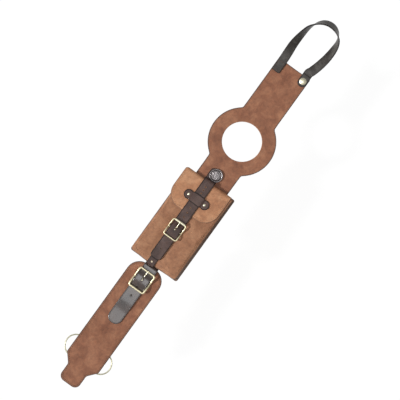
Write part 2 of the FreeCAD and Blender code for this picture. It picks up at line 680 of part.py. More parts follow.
def buckle_chape(width, low_from):
    """Leather folded round the centre bar and slotted for the prong."""
    half = width / 2
    outer_r = FOLD_R + CHAPE_THICK
    fold = Part.makeCylinder(outer_r, width, V(-half, 0, CENTRE_BAR_Z), ALONG_X)
    wrap_end = -12.0
    top = CENTRE_BAR_Z + outer_r
    wrap = box(-half, half, wrap_end, 0, CLEAR, top)
    slope = [(1, top), (-1, top), (wrap_end, CLEAR + 2 * CHAPE_THICK), (wrap_end, 20), (1, 20)]
    points = [V(-half, y, z) for y, z in slope]
    shaver = Part.Face(Part.makePolygon(points + points[:1])).extrude(V(width, 0, 0))
    base = box(-half, half, low_from, 0, CLEAR, CLEAR + CHAPE_THICK)
    body = fold.fuse([wrap.cut(shaver), base]).removeSplitter()
    bore = Part.makeCylinder(FOLD_R, width + 2, V(-half - 1, 0, CENTRE_BAR_Z), ALONG_X)
    slot_half = 2.3
    slot = box(-slot_half, slot_half, -4.2, 5, -1, 20)
    return body.cut([bore, slot])


def at_small_buckle(shape):
    placed = shape.copy()
    placed.translate(V(CLOSURE_X, SMALL_BUCKLE_ALONG, 0))
    return on_front(placed)


def at_large_buckle(shape):
    placed = shape.copy()
    placed.translate(V(0, LARGE_BUCKLE_Y, PANEL_THICK))
    return placed


def small_buckle_frame():
    frame = buckle_frame(SMALL_BUCKLE_WIDTH, SMALL_BUCKLE_LENGTH, SMALL_WIRE_R, SMALL_END_Z)
    return at_small_buckle(frame)


def small_buckle_roller():
    """Tube that turns on the top bar, where the strap runs under it."""
    length = SMALL_BUCKLE_WIDTH - 2 * SMALL_WIRE_R - 2 * FRAME_CORNER_R
    y = SMALL_BUCKLE_LENGTH / 2 - SMALL_WIRE_R
    start = V(-length / 2, y, SMALL_END_Z)
    tube = Part.makeCylinder(ROLLER_R, length, start, ALONG_X)
    bore = Part.makeCylinder(SMALL_WIRE_R + SHAFT_CLEAR, length, start, ALONG_X)
    return at_small_buckle(tube.cut(bore))


def small_buckle_prong():
    prong = buckle_prong(SMALL_BUCKLE_LENGTH, SMALL_WIRE_R, ROLLER_R, SMALL_END_Z)
    return at_small_buckle(prong)


def large_buckle_frame():
    frame = buckle_frame(LARGE_BUCKLE_WIDTH, LARGE_BUCKLE_LENGTH, LARGE_WIRE_R, LARGE_END_Z)
    return at_large_buckle(frame)


def large_buckle_prong():
    prong = buckle_prong(LARGE_BUCKLE_LENGTH, LARGE_WIRE_R, LARGE_WIRE_R, LARGE_END_Z)
    return at_large_buckle(prong)


FOLD_RIVET = (CLOSURE_X, SMALL_BUCKLE_ALONG - 8.5)
FOOT_RIVET = (CLOSURE_X, -FRONT_LENGTH + 6.0)
SMALL_CHAPE_RIVETS = [FOLD_RIVET, FOOT_RIVET]
CHAPE_SHANK_R = 1.0
CHAPE_RIVET_R = 2.0
CHAPE_DROP = 13.0            # the narrow strap's reach down the pouch bottom
BOTTOM_RIVET_DROP = -8.0
BOTTOM_GAP = 1.0             # between the pouch bottom and the narrow strap


def chape_seat(x, y):
    """The room that a chape rivet takes in the pouch front."""
    inside = disc(CHAPE_RIVET_R + CLEAR, -9, -POUCH_LEATHER + 0.5, x, y)
    return disc(CHAPE_SHANK_R + CLEAR, -9, 9, x, y).fuse(inside)


def bottom_rivet(head_r, shank_r, start, length, head):
    """Rivet through the bottom wall, along Y."""
    outside = V(CLOSURE_X, -FRONT_LENGTH - start, BOTTOM_RIVET_DROP)
    shank = Part.makeCylinder(shank_r, length, outside, V(0, 1, 0))
    return shank.fuse(Part.makeCylinder(head_r, head, outside, V(0, 1, 0)))


def chape_bottom_rivet_seat():
    seat_r = CHAPE_SHANK_R + CLEAR
    return bottom_rivet(seat_r, seat_r, 3.0, 9.0, 0.5)


def small_buckle_chape():
    """Narrow strap: folded round the centre bar, down the front and over the pouch bottom."""
    corner_y = -FRONT_LENGTH - BOTTOM_GAP - CHAPE_THICK / 2
    mid_z = CLEAR + CHAPE_THICK / 2
    line = [(SMALL_BUCKLE_ALONG - 26.5, mid_z), (corner_y, mid_z), (corner_y, -CHAPE_DROP)]
    bend = strip(line, 2.2, CHAPE_THICK, CLOSURE_X, SMALL_CHAPE_WIDTH)
    fold = buckle_chape(SMALL_CHAPE_WIDTH, -28.0)
    fold.translate(V(CLOSURE_X, SMALL_BUCKLE_ALONG, 0))
    chape = fold.fuse(bend).removeSplitter()
    holes = [disc(CHAPE_SHANK_R + CLEAR, -9, 9, x, y) for x, y in SMALL_CHAPE_RIVETS]
    return on_front(chape.cut(holes + [chape_bottom_rivet_seat()]))


def small_chape_rivets():
    """One rivet hidden in the fold, one near the strap's foot and one through the bottom wall."""
    rivets = []
    for (x, y), top in zip(SMALL_CHAPE_RIVETS, (4.4, CLEAR + CHAPE_THICK + 0.3)):
        shank = disc(CHAPE_SHANK_R, -POUCH_LEATHER - 0.3, top, x, y)
        inside = disc(CHAPE_RIVET_R, -POUCH_LEATHER - 0.5, -POUCH_LEATHER + 0.4, x, y)
        rivets.append(shank.fuse(inside))
    head_low = 2 * CLEAR + CHAPE_THICK
    rivets[1] = rivets[1].fuse(disc(CHAPE_RIVET_R, head_low, head_low + 0.5, *FOOT_RIVET))
    outside = BOTTOM_GAP + CHAPE_THICK + CLEAR + 0.5
    rivets.append(bottom_rivet(CHAPE_RIVET_R, CHAPE_SHANK_R, outside, 7.0, 0.4))
    return on_front(Part.makeCompound(rivets))


LARGE_CHAPE_END = -54.0
LARGE_RIVET_TOP = PANEL_THICK + CLEAR + CHAPE_THICK - 0.1
LARGE_CHAPE_RIVETS = [
    (-8.0, LARGE_BUCKLE_Y - 34.0), (8.0, LARGE_BUCKLE_Y - 34.0), (0.0, LARGE_BUCKLE_Y - 46.0),
]


def large_buckle_chape():
    """Leather folded round the large buckle's centre bar and riveted on the lower panel."""
    chape = at_large_buckle(buckle_chape(LARGE_CHAPE_WIDTH, LARGE_CHAPE_END))
    return chape.cut(large_rivet_seats())


def large_rivet_seats():
    return [rivet_seat(x, y, 0.1, LARGE_RIVET_TOP) for x, y in LARGE_CHAPE_RIVETS]


def large_chape_rivets():
    return Part.makeCompound([rivet(x, y, 0.1, LARGE_RIVET_TOP) for x, y in LARGE_CHAPE_RIVETS])


# ---- link strap ----
LINK_HOLE_R = 1.8
LINK_HOLES = [16.0, 38.0]    # distances below the large buckle's centre bar


def link_strap_anchor():
    """Fixed end of the link strap, let into the tank panel behind the pouch."""
    half = LINK_WIDTH / 2
    top = PANEL_THICK - CLEAR
    low = LINK_RECESS_Z + CLEAR
    end = box(-half, half, POUCH_BOTTOM + 0.1, LINK_RECESS_TOP - CLEAR, low, top)
    return end.cut([rivet_seat(x, y, 0.1, PANEL_THICK - 0.1) for x, y in LINK_RIVETS])


def link_rivets():
    return Part.makeCompound([rivet(x, y, 0.1, PANEL_THICK - 0.1) for x, y in LINK_RIVETS])


def link_strap():
    """Strap over the lower panel's edge, through the large buckle, to its round end."""
    front = [(y + LARGE_BUCKLE_Y, z + PANEL_THICK) for y, z in arch(0.0, LINK_THICK, LARGE_STRAP_Z)]
    low = PANEL_THICK + LARGE_STRAP_Z
    tail = PANEL_THICK + CLEAR + LINK_THICK / 2
    start = [(LOWER_TOP - 1.0, low)]
    chape_end = LARGE_BUCKLE_Y + LARGE_CHAPE_END
    ends = [(chape_end - 2.0, low), (chape_end - 22.0, tail), (LINK_END_Y - 1, tail)]
    corners = start + front + ends
    strap = strip(corners, 4.0, LINK_THICK, 0.0, LINK_WIDTH)
    strap = rounded_tip(strap, 0.0, LINK_END_Y, LINK_WIDTH, LINK_WIDTH / 2 - 0.05)
    slot = at_large_buckle(prong_slot(0.0, 0.0, 15.5))
    holes = [disc(LINK_HOLE_R, 0, 30, 0, LARGE_BUCKLE_Y - reach) for reach in LINK_HOLES]
    return strap.cut([slot] + holes)


# ---- lower panel ----
RING_RIVET_X = [-18.0, 0.0, 18.0]
RING_RIVET_R = 2.3
RING_SHANK_R = 1.0
LOWER_PROFILE = [(-300.0, 0.0), (-478.0, 0.0), (-522.0, RING_RISE), (-640.0, RING_RISE)]
LOWER_BEND_R = 90.0
NECK_CORNER_R = 8.0
SHOULDER_CORNER_R = 4.0
BURR_POCKET_R = 2.6
BURR_POCKET_DEPTH = 0.8


def lower_outline():
    """Plan of the lower panel as a tall block."""
    tall = 60.0
    half = PANEL_WIDTH / 2
    neck = TAB_WIDTH / 2
    points = [
        V(-half, LOWER_TOP, -tall), V(half, LOWER_TOP, -tall), V(half, LOWER_SHOULDER_Y, -tall),
        V(neck, LOWER_NECK_Y, -tall), V(neck, LOWER_END, -tall), V(-neck, LOWER_END, -tall),
        V(-neck, LOWER_NECK_Y, -tall), V(-half, LOWER_SHOULDER_Y, -tall),
    ]
    block = Part.Face(Part.makePolygon(points + points[:1])).extrude(UP * (2 * tall))
    block = rounded_edges(block, LOWER_CORNER_R, lambda p: p.y > LOWER_TOP - 1)
    block = rounded_edges(block, NECK_CORNER_R, lambda p: abs(p.y - LOWER_NECK_Y) < 1)
    block = rounded_edges(block, SHOULDER_CORNER_R, lambda p: abs(p.y - LOWER_SHOULDER_Y) < 1)
    return rounded_edges(block, TAB_CORNER_R, lambda p: p.y < LOWER_END + 1)


def lower_layer(low, high):
    """Layer of the lower panel between two heights above its underside."""
    corners = [(y, z + (low + high) / 2) for y, z in LOWER_PROFILE]
    layer = strip(corners, LOWER_BEND_R, high - low, 0.0, PANEL_WIDTH + 2)
    return layer.common(lower_outline())


def lower_panel():
    """Outer leather of the lower panel, pocketed for the keeper's washers."""
    layer = lower_layer(LINING_THICK + CLEAR, PANEL_THICK)
    pocket_top = RING_RISE + LINING_THICK + BURR_POCKET_DEPTH
    pockets = [disc(BURR_POCKET_R, 0, pocket_top, x, RING_Y) for x in RING_RIVET_X]
    return layer.cut(large_rivet_seats() + pockets)


def lower_lining():
    """Thin leather under the lower panel."""
    layer = lower_layer(0.0, LINING_THICK)
    shanks = [disc(RING_SHANK_R + CLEAR, 0, 20, x, RING_Y) for x in RING_RIVET_X]
    return layer.cut(large_rivet_seats() + shanks)


# ---- fixing rings ----
KEEPER_LEATHER = 1.8
KEEPER_HALF = 6.0
CHANNEL_HALF = RING_WIRE_R + 1.0


def fixing_ring(side):
    """Round ring of the given side, -1 left and 1 right."""
    return Part.makeTorus(RING_R, RING_WIRE_R, V(side * RING_X, RING_Y, RING_Z), UP)


def ring_keeper():
    """Leather strip across the panel's back, bowed under each ring's wire."""
    flat = RING_RISE - CLEAR - KEEPER_LEATHER / 2
    low = RING_Z - CHANNEL_HALF - KEEPER_LEATHER / 2
    end = 22.5
    right = [(3.6, flat), (5.6, low), (10.4, low), (12.6, flat), (end, flat)]
    corners = [(-x, z) for x, z in reversed(right)] + right
    centre = path([V(x, RING_Y - KEEPER_HALF, z) for x, z in corners], 0.95)
    face = centre.makeOffset2D(-KEEPER_LEATHER / 2, 0, False, True)
    band = face.makeOffset2D(KEEPER_LEATHER, 0, True, True).extrude(V(0, 2 * KEEPER_HALF, 0))
    return band.cut([disc(RING_SHANK_R + CLEAR, -5, 20, x, RING_Y) for x in RING_RIVET_X])


def ring_keeper_rivets():
    """Flat heads under the keeper with shanks up into the panel."""
    rivets = []
    for x in RING_RIVET_X:
        top = RING_RISE - CLEAR - KEEPER_LEATHER - CLEAR
        head = disc(RING_RIVET_R, top - 0.6, top, x, RING_Y)
        shank = disc(RING_SHANK_R, top - 0.3, RING_RISE + LINING_THICK + 0.7, x, RING_Y)
        rivets.append(head.fuse(shank))
    return Part.makeCompound(rivets)


def ring_keeper_burrs():
    low = RING_RISE + LINING_THICK + CLEAR
    burrs = []
    for x in RING_RIVET_X:
        washer = disc(2.5, low, low + 0.6, x, RING_Y)
        burrs.append(washer.cut(disc(RING_SHANK_R + CLEAR, 0, 20, x, RING_Y)))
    return Part.makeCompound(burrs)


NODES = {
    "tank_panel": tank_panel,
    "loop_strap": loop_strap,
    "loop_anchor_tab": loop_anchor_tab,
    "loop_stitching": loop_stitching,
    "snap_tab": snap_tab,
    "snap_cap": snap_cap,
    "snap_socket": snap_socket,
    "snap_stud": snap_stud,
    "snap_post": snap_post,
    "concho": concho,
    "concho_screw": concho_screw,
    "closure_strap_anchor": closure_strap_anchor,
    "closure_strap": closure_strap,
    "pouch_back": pouch_back,
    "pouch_gusset": pouch_gusset,
    "pouch_front": pouch_front,
    "pouch_flap": pouch_flap,
    "flap_stitching": flap_stitching,
    "pouch_stitching": pouch_stitching,
    "pouch_rivets": pouch_rivets,
    "closure_keeper": closure_keeper,
    "keeper_rivets": keeper_rivets,
    "keeper_burrs": keeper_burrs,
    "small_buckle_frame": small_buckle_frame,
    "small_buckle_roller": small_buckle_roller,
    "small_buckle_prong": small_buckle_prong,
    "small_buckle_chape": small_buckle_chape,
    "small_chape_rivets": small_chape_rivets,
    "large_buckle_frame": large_buckle_frame,
    "large_buckle_prong": large_buckle_prong,
    "large_buckle_chape": large_buckle_chape,
    "large_chape_rivets": large_chape_rivets,
    "link_strap_anchor": link_strap_anchor,
    "link_rivets": link_rivets,
    "link_strap": link_strap,
    "lower_panel": lower_panel,
    "lower_lining": lower_lining,
    "ring_left": lambda: fixing_ring(-1),
    "ring_right": lambda: fixing_ring(1),
    "ring_keeper": ring_keeper,
    "ring_keeper_rivets": ring_keeper_rivets,
    "ring_keeper_burrs": ring_keeper_burrs,
}

os.makedirs("parts", exist_ok=True)
for node, build in NODES.items():
    build().exportStep(f"parts/{node}.step")
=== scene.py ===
import json
import math

import bmesh
import bpy
import numpy as np
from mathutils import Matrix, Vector, geometry, kdtree, noise
from mathutils.bvhtree import BVHTree


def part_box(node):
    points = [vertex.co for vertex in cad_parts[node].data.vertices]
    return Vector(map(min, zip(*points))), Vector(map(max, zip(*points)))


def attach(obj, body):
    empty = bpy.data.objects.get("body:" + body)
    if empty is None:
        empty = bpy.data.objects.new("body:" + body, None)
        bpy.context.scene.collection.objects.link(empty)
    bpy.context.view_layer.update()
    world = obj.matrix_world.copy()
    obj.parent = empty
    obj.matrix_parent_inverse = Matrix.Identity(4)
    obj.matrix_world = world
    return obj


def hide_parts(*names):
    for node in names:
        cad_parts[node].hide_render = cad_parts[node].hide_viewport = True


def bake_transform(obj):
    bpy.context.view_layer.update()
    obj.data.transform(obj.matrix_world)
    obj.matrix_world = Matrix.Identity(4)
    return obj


# Looks for a leather fuel-tank strap. Lengths in this file are millimetres until a mesh is made.
# Leather is built as flat outlines (u across, s along) laid on a track, which is the sheet's side view.

MM = 0.001
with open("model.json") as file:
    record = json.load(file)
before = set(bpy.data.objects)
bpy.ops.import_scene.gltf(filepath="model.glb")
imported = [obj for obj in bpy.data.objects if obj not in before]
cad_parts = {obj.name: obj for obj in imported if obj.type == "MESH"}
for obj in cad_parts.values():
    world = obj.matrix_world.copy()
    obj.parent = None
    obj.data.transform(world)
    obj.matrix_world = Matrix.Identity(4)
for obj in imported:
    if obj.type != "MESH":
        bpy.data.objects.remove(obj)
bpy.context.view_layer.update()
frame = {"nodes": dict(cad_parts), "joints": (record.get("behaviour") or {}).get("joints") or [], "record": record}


def span(node):
    """Low and high corner of a CAD node's box."""
    low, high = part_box(node)
    return low / MM, high / MM


def middle_of(box):
    """Middle of a box of corners."""
    return (box[0] + box[1]) / 2


PANEL = span("tank_panel")
LOWER = span("lower_panel")
BACK = span("pouch_back")
FRONT = span("pouch_front")
FLAP = span("pouch_flap")
CLOSURE = span("closure_strap")
ANCHOR = span("closure_strap_anchor")
LINK = span("link_strap")
LINK_END = span("link_strap_anchor")
SEWN_TAB = span("loop_anchor_tab")
SNAP_TAB = span("snap_tab")
LOOP = span("loop_strap")
KEEPER = span("closure_keeper")
LARGE_CHAPE = span("large_buckle_chape")
RING_KEEPER = span("ring_keeper")
CONCHO = span("concho")
JOINT = {j["name"]: Vector(j["pos_m"]) / MM for j in frame["joints"]}
MOUNT = {m["name"]: m for m in frame["record"]["mounts"]}

PANEL_TOP_Z = PANEL[1].z
CAP_HOLE_R = MOUNT["filler_cap_opening"]["dims"]["r_mm"]
HALF_STRAP = LOWER[1].x
MOUTH_DEPTH = 9.0
MOUTH_Y = BACK[1].y
MOUTH_Z = PANEL_TOP_Z + MOUTH_DEPTH
SLOPE = math.atan2(FRONT[1].z - MOUTH_Z, MOUTH_Y - BACK[0].y)
FRONT_LENGTH = (MOUTH_Y - BACK[0].y) / math.cos(SLOPE)
CLOSURE_X = JOINT["flap_open"].x
GAP = 0.05


def off_front(along, up):
    """(y, z) of a place on the pouch front, from its distance along the front and its height off it."""
    y = MOUTH_Y + along * math.cos(SLOPE) + up * math.sin(SLOPE)
    return y, MOUTH_Z - along * math.sin(SLOPE) + up * math.cos(SLOPE)


# ---- pieces and the frame ----
def fit(piece, body, slot, *nodes):
    """Makes a piece ride a CAD body in place of the body's nodes. The slot argument is not used."""
    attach(piece, body)
    stand_for(nodes)


def fit_bend(piece, bodies, start, end, slot, *nodes):
    """Bakes a piece's placement into its mesh and hides the CAD nodes that it stands for. The bodies, start, end
    and slot arguments are not used.
    """
    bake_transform(piece)
    stand_for(nodes)


def stand_for(nodes):
    """Hides the CAD nodes that a piece stands for."""
    if nodes:
        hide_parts(*nodes)


# ---- outlines and tracks ----
ARC_STEP = 9  # degrees between the points of an arc
NEARLY_STRAIGHT = 1.56  # half of a corner's angle, past which it's left unrounded


def rounded(corners, closed=True):
    """Points through (a, b, radius) corners, with arcs where the radius isn't 0."""
    points = []
    count = len(corners)
    for i, (a, b, r) in enumerate(corners):
        here = np.array([a, b], float)
        if r == 0 or (not closed and i in (0, count - 1)):
            points.append(here)
            continue
        back = np.array(corners[i - 1][:2], float) - here
        onward = np.array(corners[(i + 1) % count][:2], float) - here
        back /= np.linalg.norm(back)
        onward /= np.linalg.norm(onward)
        half = math.acos(np.clip(back @ onward, -1, 1)) / 2
        if half > NEARLY_STRAIGHT:
            points.append(here)
            continue
        middle = (back + onward) / np.linalg.norm(back + onward)
        centre = here + middle * (r / math.sin(half))
        first = here + back * (r / math.tan(half)) - centre
        turn = math.pi - 2 * half
        side = math.copysign(1, first[0] * (-middle[1]) - first[1] * (-middle[0]))
        steps = max(3, round(math.degrees(turn) / ARC_STEP))
        for k in range(steps + 1):
            t = side * turn * k / steps
            c, s = math.cos(t), math.sin(t)
            points.append(centre + [first[0] * c - first[1] * s, first[0] * s + first[1] * c])
    return points


def strip(left, right, low, high, low_r, high_r):
    """Oblong outline with one corner radius at each end."""
    return rounded([(left, low, low_r), (right, low, low_r), (right, high, high_r), (left, high, high_r)])


SHORTEST_EDGE = 0.02


def resampled(points, step, anticlockwise=True):
    """Closed loop with its long edges divided, turning the asked way."""
    area = sum(p[0] * q[1] - q[0] * p[1] for p, q in zip(points, points[1:] + points[:1]))
    if (area > 0) != anticlockwise:
        points = points[::-1]
    out = []
    for p, q in zip(points, points[1:] + points[:1]):
        length = np.linalg.norm(q - p)
        if length < SHORTEST_EDGE:
            continue
        count = max(1, round(length / step))
        out += [p + (q - p) * (k / count) for k in range(count)]
    return np.array(out)


def inward(loop):
    """Unit normals to the left of travel, into the leather."""
    way = np.roll(loop, -1, 0) - np.roll(loop, 1, 0)
    way /= np.linalg.norm(way, axis=1)[:, None]
    return np.stack([-way[:, 1], way[:, 0]], 1)


def inside(points, loop):
    """Even-odd test of many points against one loop."""
    a, b = loop, np.roll(loop, -1, 0)
    hits = np.zeros(len(points), bool)
    for p, q in zip(a, b):
        crosses = (p[1] > points[:, 1]) != (q[1] > points[:, 1])
        if crosses.any():
            x = (q[0] - p[0]) * (points[:, 1] - p[1]) / (q[1] - p[1] + 1e-12) + p[0]
            hits ^= crosses & (points[:, 0] < x)
    return hits


class Track:
    """Side view of a sheet: a line measured along its length, with the grain side to its left."""

    def __init__(self, corners):
        p = np.array(rounded(corners, closed=False))
        keep = np.concatenate([[True], np.linalg.norm(np.diff(p, axis=0), axis=1) > 1e-4])
        self.p = p[keep]
        steps = np.diff(self.p, axis=0)
        lengths = np.linalg.norm(steps, axis=1)
        self.s = np.concatenate([[0], np.cumsum(lengths)])
        way = steps / lengths[:, None]
        joined = np.concatenate([way[:1], way[1:] + way[:-1], way[-1:]])
        joined /= np.linalg.norm(joined, axis=1)[:, None]
        self.n = np.stack([joined[:, 1], -joined[:, 0]], 1)
        self.length = self.s[-1]

    def at(self, s):
        s = np.asarray(s, float)
        i = np.clip(np.searchsorted(self.s, s) - 1, 0, len(self.s) - 2)
        f = ((s - self.s[i]) / (self.s[i + 1] - self.s[i]))[:, None]
        point = self.p[i] + (self.p[i + 1] - self.p[i]) * f
        normal = self.n[i] + (self.n[i + 1] - self.n[i]) * np.clip(f, 0, 1)
        return point, normal / np.linalg.norm(normal, axis=1)[:, None]

    def find(self, a, b):
        """Length along the track of its place nearest to (a, b)."""
        fine = np.linspace(0, self.length, 4000)
        point, _ = self.at(fine)
        return float(fine[np.argmin(np.hypot(point[:, 0] - a, point[:, 1] - b))])


def along_y(track):
    """Lays (u, s) sheets with u across the strap and the track in the (y, z) plane."""
    def place(u, s, h):
        p, n = track.at(s)
        return np.stack([u, p[:, 0] + n[:, 0] * h, p[:, 1] + n[:, 1] * h], 1)
    return place


def across(track, frame_of):
    """Lays sheets whose track runs across the strap, in (x, up); frame_of turns (u, up) into (y, z)."""
    def place(u, s, h):
        p, n = track.at(s)
        y, z = frame_of(u, p[:, 1] + n[:, 1] * h)
        return np.stack([p[:, 0] + n[:, 0] * h, y, z], 1)
    return place


def level(z_middle):
    """Lays a flat sheet whose outline is given as (x, y)."""
    def place(u, s, h):
        return np.stack([u, s, z_middle + h], 1)
    return place


# ---- meshes ----
def new_object(name, points, faces, material, attributes=None):
    """Smooth-shaded object in the scene, with point attributes for its material to read."""
    mesh = bpy.data.meshes.new(name)
    mesh.from_pydata((np.asarray(points) * MM).tolist(), [], faces)
    for key, values in (attributes or {}).items():
        values = np.asarray(values, np.float32)
        if values.ndim == 2:
            mesh.attributes.new(key, "FLOAT_VECTOR", "POINT").data.foreach_set("vector", values.ravel())
        else:
            mesh.attributes.new(key, "FLOAT", "POINT").data.foreach_set("value", values)
    work = bmesh.new()
    work.from_mesh(mesh)
    bmesh.ops.recalc_face_normals(work, faces=work.faces)
    work.to_mesh(mesh)
    work.free()
    mesh.shade_smooth()
    mesh.materials.append(material)
    obj = bpy.data.objects.new(name, mesh)
    bpy.context.scene.collection.objects.link(obj)
    return obj


def ripple(u, s, seed, size):
    """Slow unevenness of leather that has been used."""
    return np.array([noise.noise(Vector((a / size, b / size, seed))) for a, b in zip(u, s)])


FAR_IN = 9.0  # distance from an edge past which leather shows no sign of it
RAW_DEPTH = 0.35
HOLE_STEP = 0.7
HOLE_REACH = 0.7
CREASE_HALF = 0.5
CREASE_DEPTH = 0.3


def rim(thick, reach, crease=None):
    """(distance in from the edge, height) pairs over the rounded edge, grain side first."""
    half = thick / 2
    r = min(0.42 * thick, 1.0, reach * 0.6)
    top = [(reach, half)]
    if crease:
        top += [(crease + CREASE_HALF, half), (crease, half - CREASE_DEPTH), (crease - CREASE_HALF, half)]
    top += [(r * 1.5, half + 0.02)]
    for degrees in (0, 30, 60, 90):
        a = math.radians(degrees)
        top.append((r * (1 - math.sin(a)), half - r * (1 - math.cos(a))))
    under = [(d, -h) for d, h in reversed(top) if not crease or abs(d - crease) > CREASE_HALF + 0.1]
    return top + under


def quads(first, count, rings, closed=True):
    """Faces that join rings of count points each, numbered from first on."""
    for base in range(first, first + (rings - 1) * count, count):
        for i in range(count if closed else count - 1):
            a, b = base + i, base + (i + 1) % count
            yield a, b, b + count, a + count


class Rim:
    """Rings of points over one rounded edge; line is the innermost ring, where the face begins."""

    def __init__(self, mesh, loop, profile, is_hole):
        normals = inward(loop)
        self.count = len(loop)
        self.top = len(mesh.flat)
        self.bottom = self.top + (len(profile) - 1) * self.count
        self.line = loop + normals * profile[0][0]
        for d, h in profile:
            mesh.flat += list(loop + normals * d)
            mesh.height += [h] * self.count
            mesh.edge += [FAR_IN if is_hole else d] * self.count
            mesh.core += [1.0 if is_hole and d < RAW_DEPTH else 0.0] * self.count
        mesh.faces += quads(self.top, self.count, len(profile))


class SheetMesh:
    """A sheet's points while it's built: flat place, height, distance from the edge, and raw cuts (core)."""

    def __init__(self):
        self.flat, self.height, self.edge, self.core, self.faces = [], [], [], [], []

    def fill(self, rims, grid, half, reach):
        """Covers both sides between the rims with Delaunay triangles over a staggered grid of dots."""
        loops = [r.line for r in rims]
        near = nearest(np.concatenate(loops))
        dots = staggered(loops[0].min(0) + grid / 2, loops[0].max(0), grid)
        dots = [p for p in dots[in_face(dots, loops)] if near(p) > grid * 0.55]
        top_of, low_of = [], []
        for r in rims:
            top_of += range(r.top, r.top + r.count)
            low_of += range(r.bottom, r.bottom + r.count)
        for p in dots:
            top_of.append(len(self.flat))
            low_of.append(len(self.flat) + 1)
            self.flat += [p, p]
            self.height += [half, -half]
            self.edge += [min(FAR_IN, near(p) + reach)] * 2
            self.core += [0.0, 0.0]
        for triangle in face_triangles(loops, dots):
            self.faces.append(tuple(top_of[i] for i in triangle))
            self.faces.append(tuple(low_of[i] for i in reversed(triangle)))


def nearest(points):
    """A function that gives a flat place's distance from the nearest of some points."""
    tree = kdtree.KDTree(len(points))
    for i, p in enumerate(points):
        tree.insert((p[0], p[1], 0), i)
    tree.balance()
    return lambda p: tree.find((p[0], p[1], 0))[2]


def staggered(low, high, grid):
    """Grid of dots over a box, every second row shifted."""
    columns, rows = [np.arange(low[k], high[k], grid) for k in (0, 1)]
    gx, gy = np.meshgrid(columns, rows)
    gx[1::2] += grid / 2
    return np.stack([gx.ravel(), gy.ravel()], 1)


def in_face(points, loops):
    """Tells which points lie inside the first loop and outside the others."""
    good = inside(points, loops[0])
    for hole in loops[1:]:
        good &= ~inside(points, hole)
    return good


def face_triangles(loops, dots):
    """Triangles over the dots between closed loops, as indices into the loops' points and then the dots."""
    planar = [Vector(p) for p in [*np.concatenate(loops), *dots]]
    edges, count = [], 0
    for loop in loops:
        edges += [(count + i, count + (i + 1) % len(loop)) for i in range(len(loop))]
        count += len(loop)
    _, _, triangles, origin, _, _ = geometry.delaunay_2d_cdt(planar, edges, [], 0, 1e-5)
    name_of = [o[0] if o else -1 for o in origin]
    triangles = [[name_of[i] for i in t] for t in triangles]
    triangles = [t for t in triangles if min(t) >= 0]
    centres = np.array([sum((planar[i] for i in t), Vector((0, 0))) / 3 for t in triangles])
    return [t for t, good in zip(triangles, in_face(centres, loops)) if good]


def sheet(name, outline, place, thick, material, holes=(), grid=4.0, step=2.0, crease=None, reach=3.6,
          hole_reach=HOLE_REACH, wave=0.25, wave_size=38.0, seed=0.0):
    """Leather sheet with rounded, creased edges and a triangulated face on each side."""
    mesh = SheetMesh()
    rims = [Rim(mesh, resampled(outline, step), rim(thick, reach, crease), False)]
    for hole in holes:
        quarter = np.ptp(np.array(hole)[:, 0]) / 4
        loop = resampled(hole, HOLE_STEP, anticlockwise=False)
        rims.append(Rim(mesh, loop, rim(thick, min(hole_reach, quarter)), True))
    mesh.fill(rims, grid, thick / 2, reach)
    flat, height = np.array(mesh.flat), np.array(mesh.height)
    bumps = ripple(flat[:, 0], flat[:, 1], seed, wave_size) * wave
    points = place(flat[:, 0], flat[:, 1], height + bumps)
    attributes = {"flat": np.stack([flat[:, 0], flat[:, 1], height], 1), "edge": mesh.edge, "core": mesh.core}
    return new_object(name, points, mesh.faces, material, attributes)


STITCH_RINGS = 7
STITCH_SIDES = 6
THREAD_R = 0.42


def stitch_points(middle, way, length, height):
    """Rings of one stitch, arched out of the leather with its ends sunk in."""
    side = np.array([-way[1], way[0]])
    for j in range(STITCH_RINGS):
        t = j / (STITCH_RINGS - 1) * 2 - 1
        r = THREAD_R * math.sqrt(max(0.06, 1 - t * t * 0.95))
        lift = height + 0.28 * (1 - t * t) - 0.25 * t * t
        for m in range(STITCH_SIDES):
            a = 2 * math.pi * m / STITCH_SIDES
            p = middle + way * (t * length / 2) + side * (r * math.cos(a) + 0.12 * t)
            yield p[0], p[1], lift + r * math.sin(a)


def stitch_faces(base):
    """Quads along one stitch and its two end caps."""
    last = base + (STITCH_RINGS - 1) * STITCH_SIDES
    yield from quads(base, STITCH_SIDES, STITCH_RINGS)
    yield tuple(range(base, base + STITCH_SIDES))
    yield tuple(reversed(range(last, last + STITCH_SIDES)))


def stitches(name, line, place, material, height, pitch, length):
    """Thread stitches end to end along a line of (u, s) points."""
    points, faces = [], []
    line = [np.array(p, float) for p in line]
    for start, end in zip(line, line[1:]):
        distance = np.linalg.norm(end - start)
        count = max(1, round(distance / pitch))
        for k in range(count):
            middle = start + (end - start) * ((k + 0.5) / count)
            faces += stitch_faces(len(points))
            points += stitch_points(middle, (end - start) / distance, length, height)
    points = np.array(points)
    return new_object(name, place(points[:, 0], points[:, 1], points[:, 2]), faces, material)


def circle(x, y, r, count=14):
    """Round outline."""
    turns = [2 * math.pi * k / count for k in range(count)]
    return [np.array([x + r * math.cos(t), y + r * math.sin(t)]) for t in turns]


def rivet_middles(node, apart=8.0):
    """(x, y) of the middle of each rivet or screw in a node; each is narrower than apart."""
    groups = []
    for vertex in frame["nodes"][node].data.vertices:
        p = np.array(vertex.co[:2]) / MM
        near = [g for g in groups if np.hypot(*(p - g[0])) < apart]
        if near:
            near[0].append(p)
        else:
            groups.append([p])
    return [(np.min(g, 0) + np.max(g, 0)) / 2 for g in groups]


def slot_hole(x, s0, s1, half):
    """Long outline with round ends."""
    r = half * 0.95
    return strip(x - half, x + half, s0, s1, r, r)


# ---- materials ----
def node_tree(name):
    """New material with its node tree and its main shader."""
    material = bpy.data.materials.new(name)
    material.use_nodes = True
    tree = material.node_tree
    shader = tree.nodes["Principled BSDF"]
    return material, tree, shader


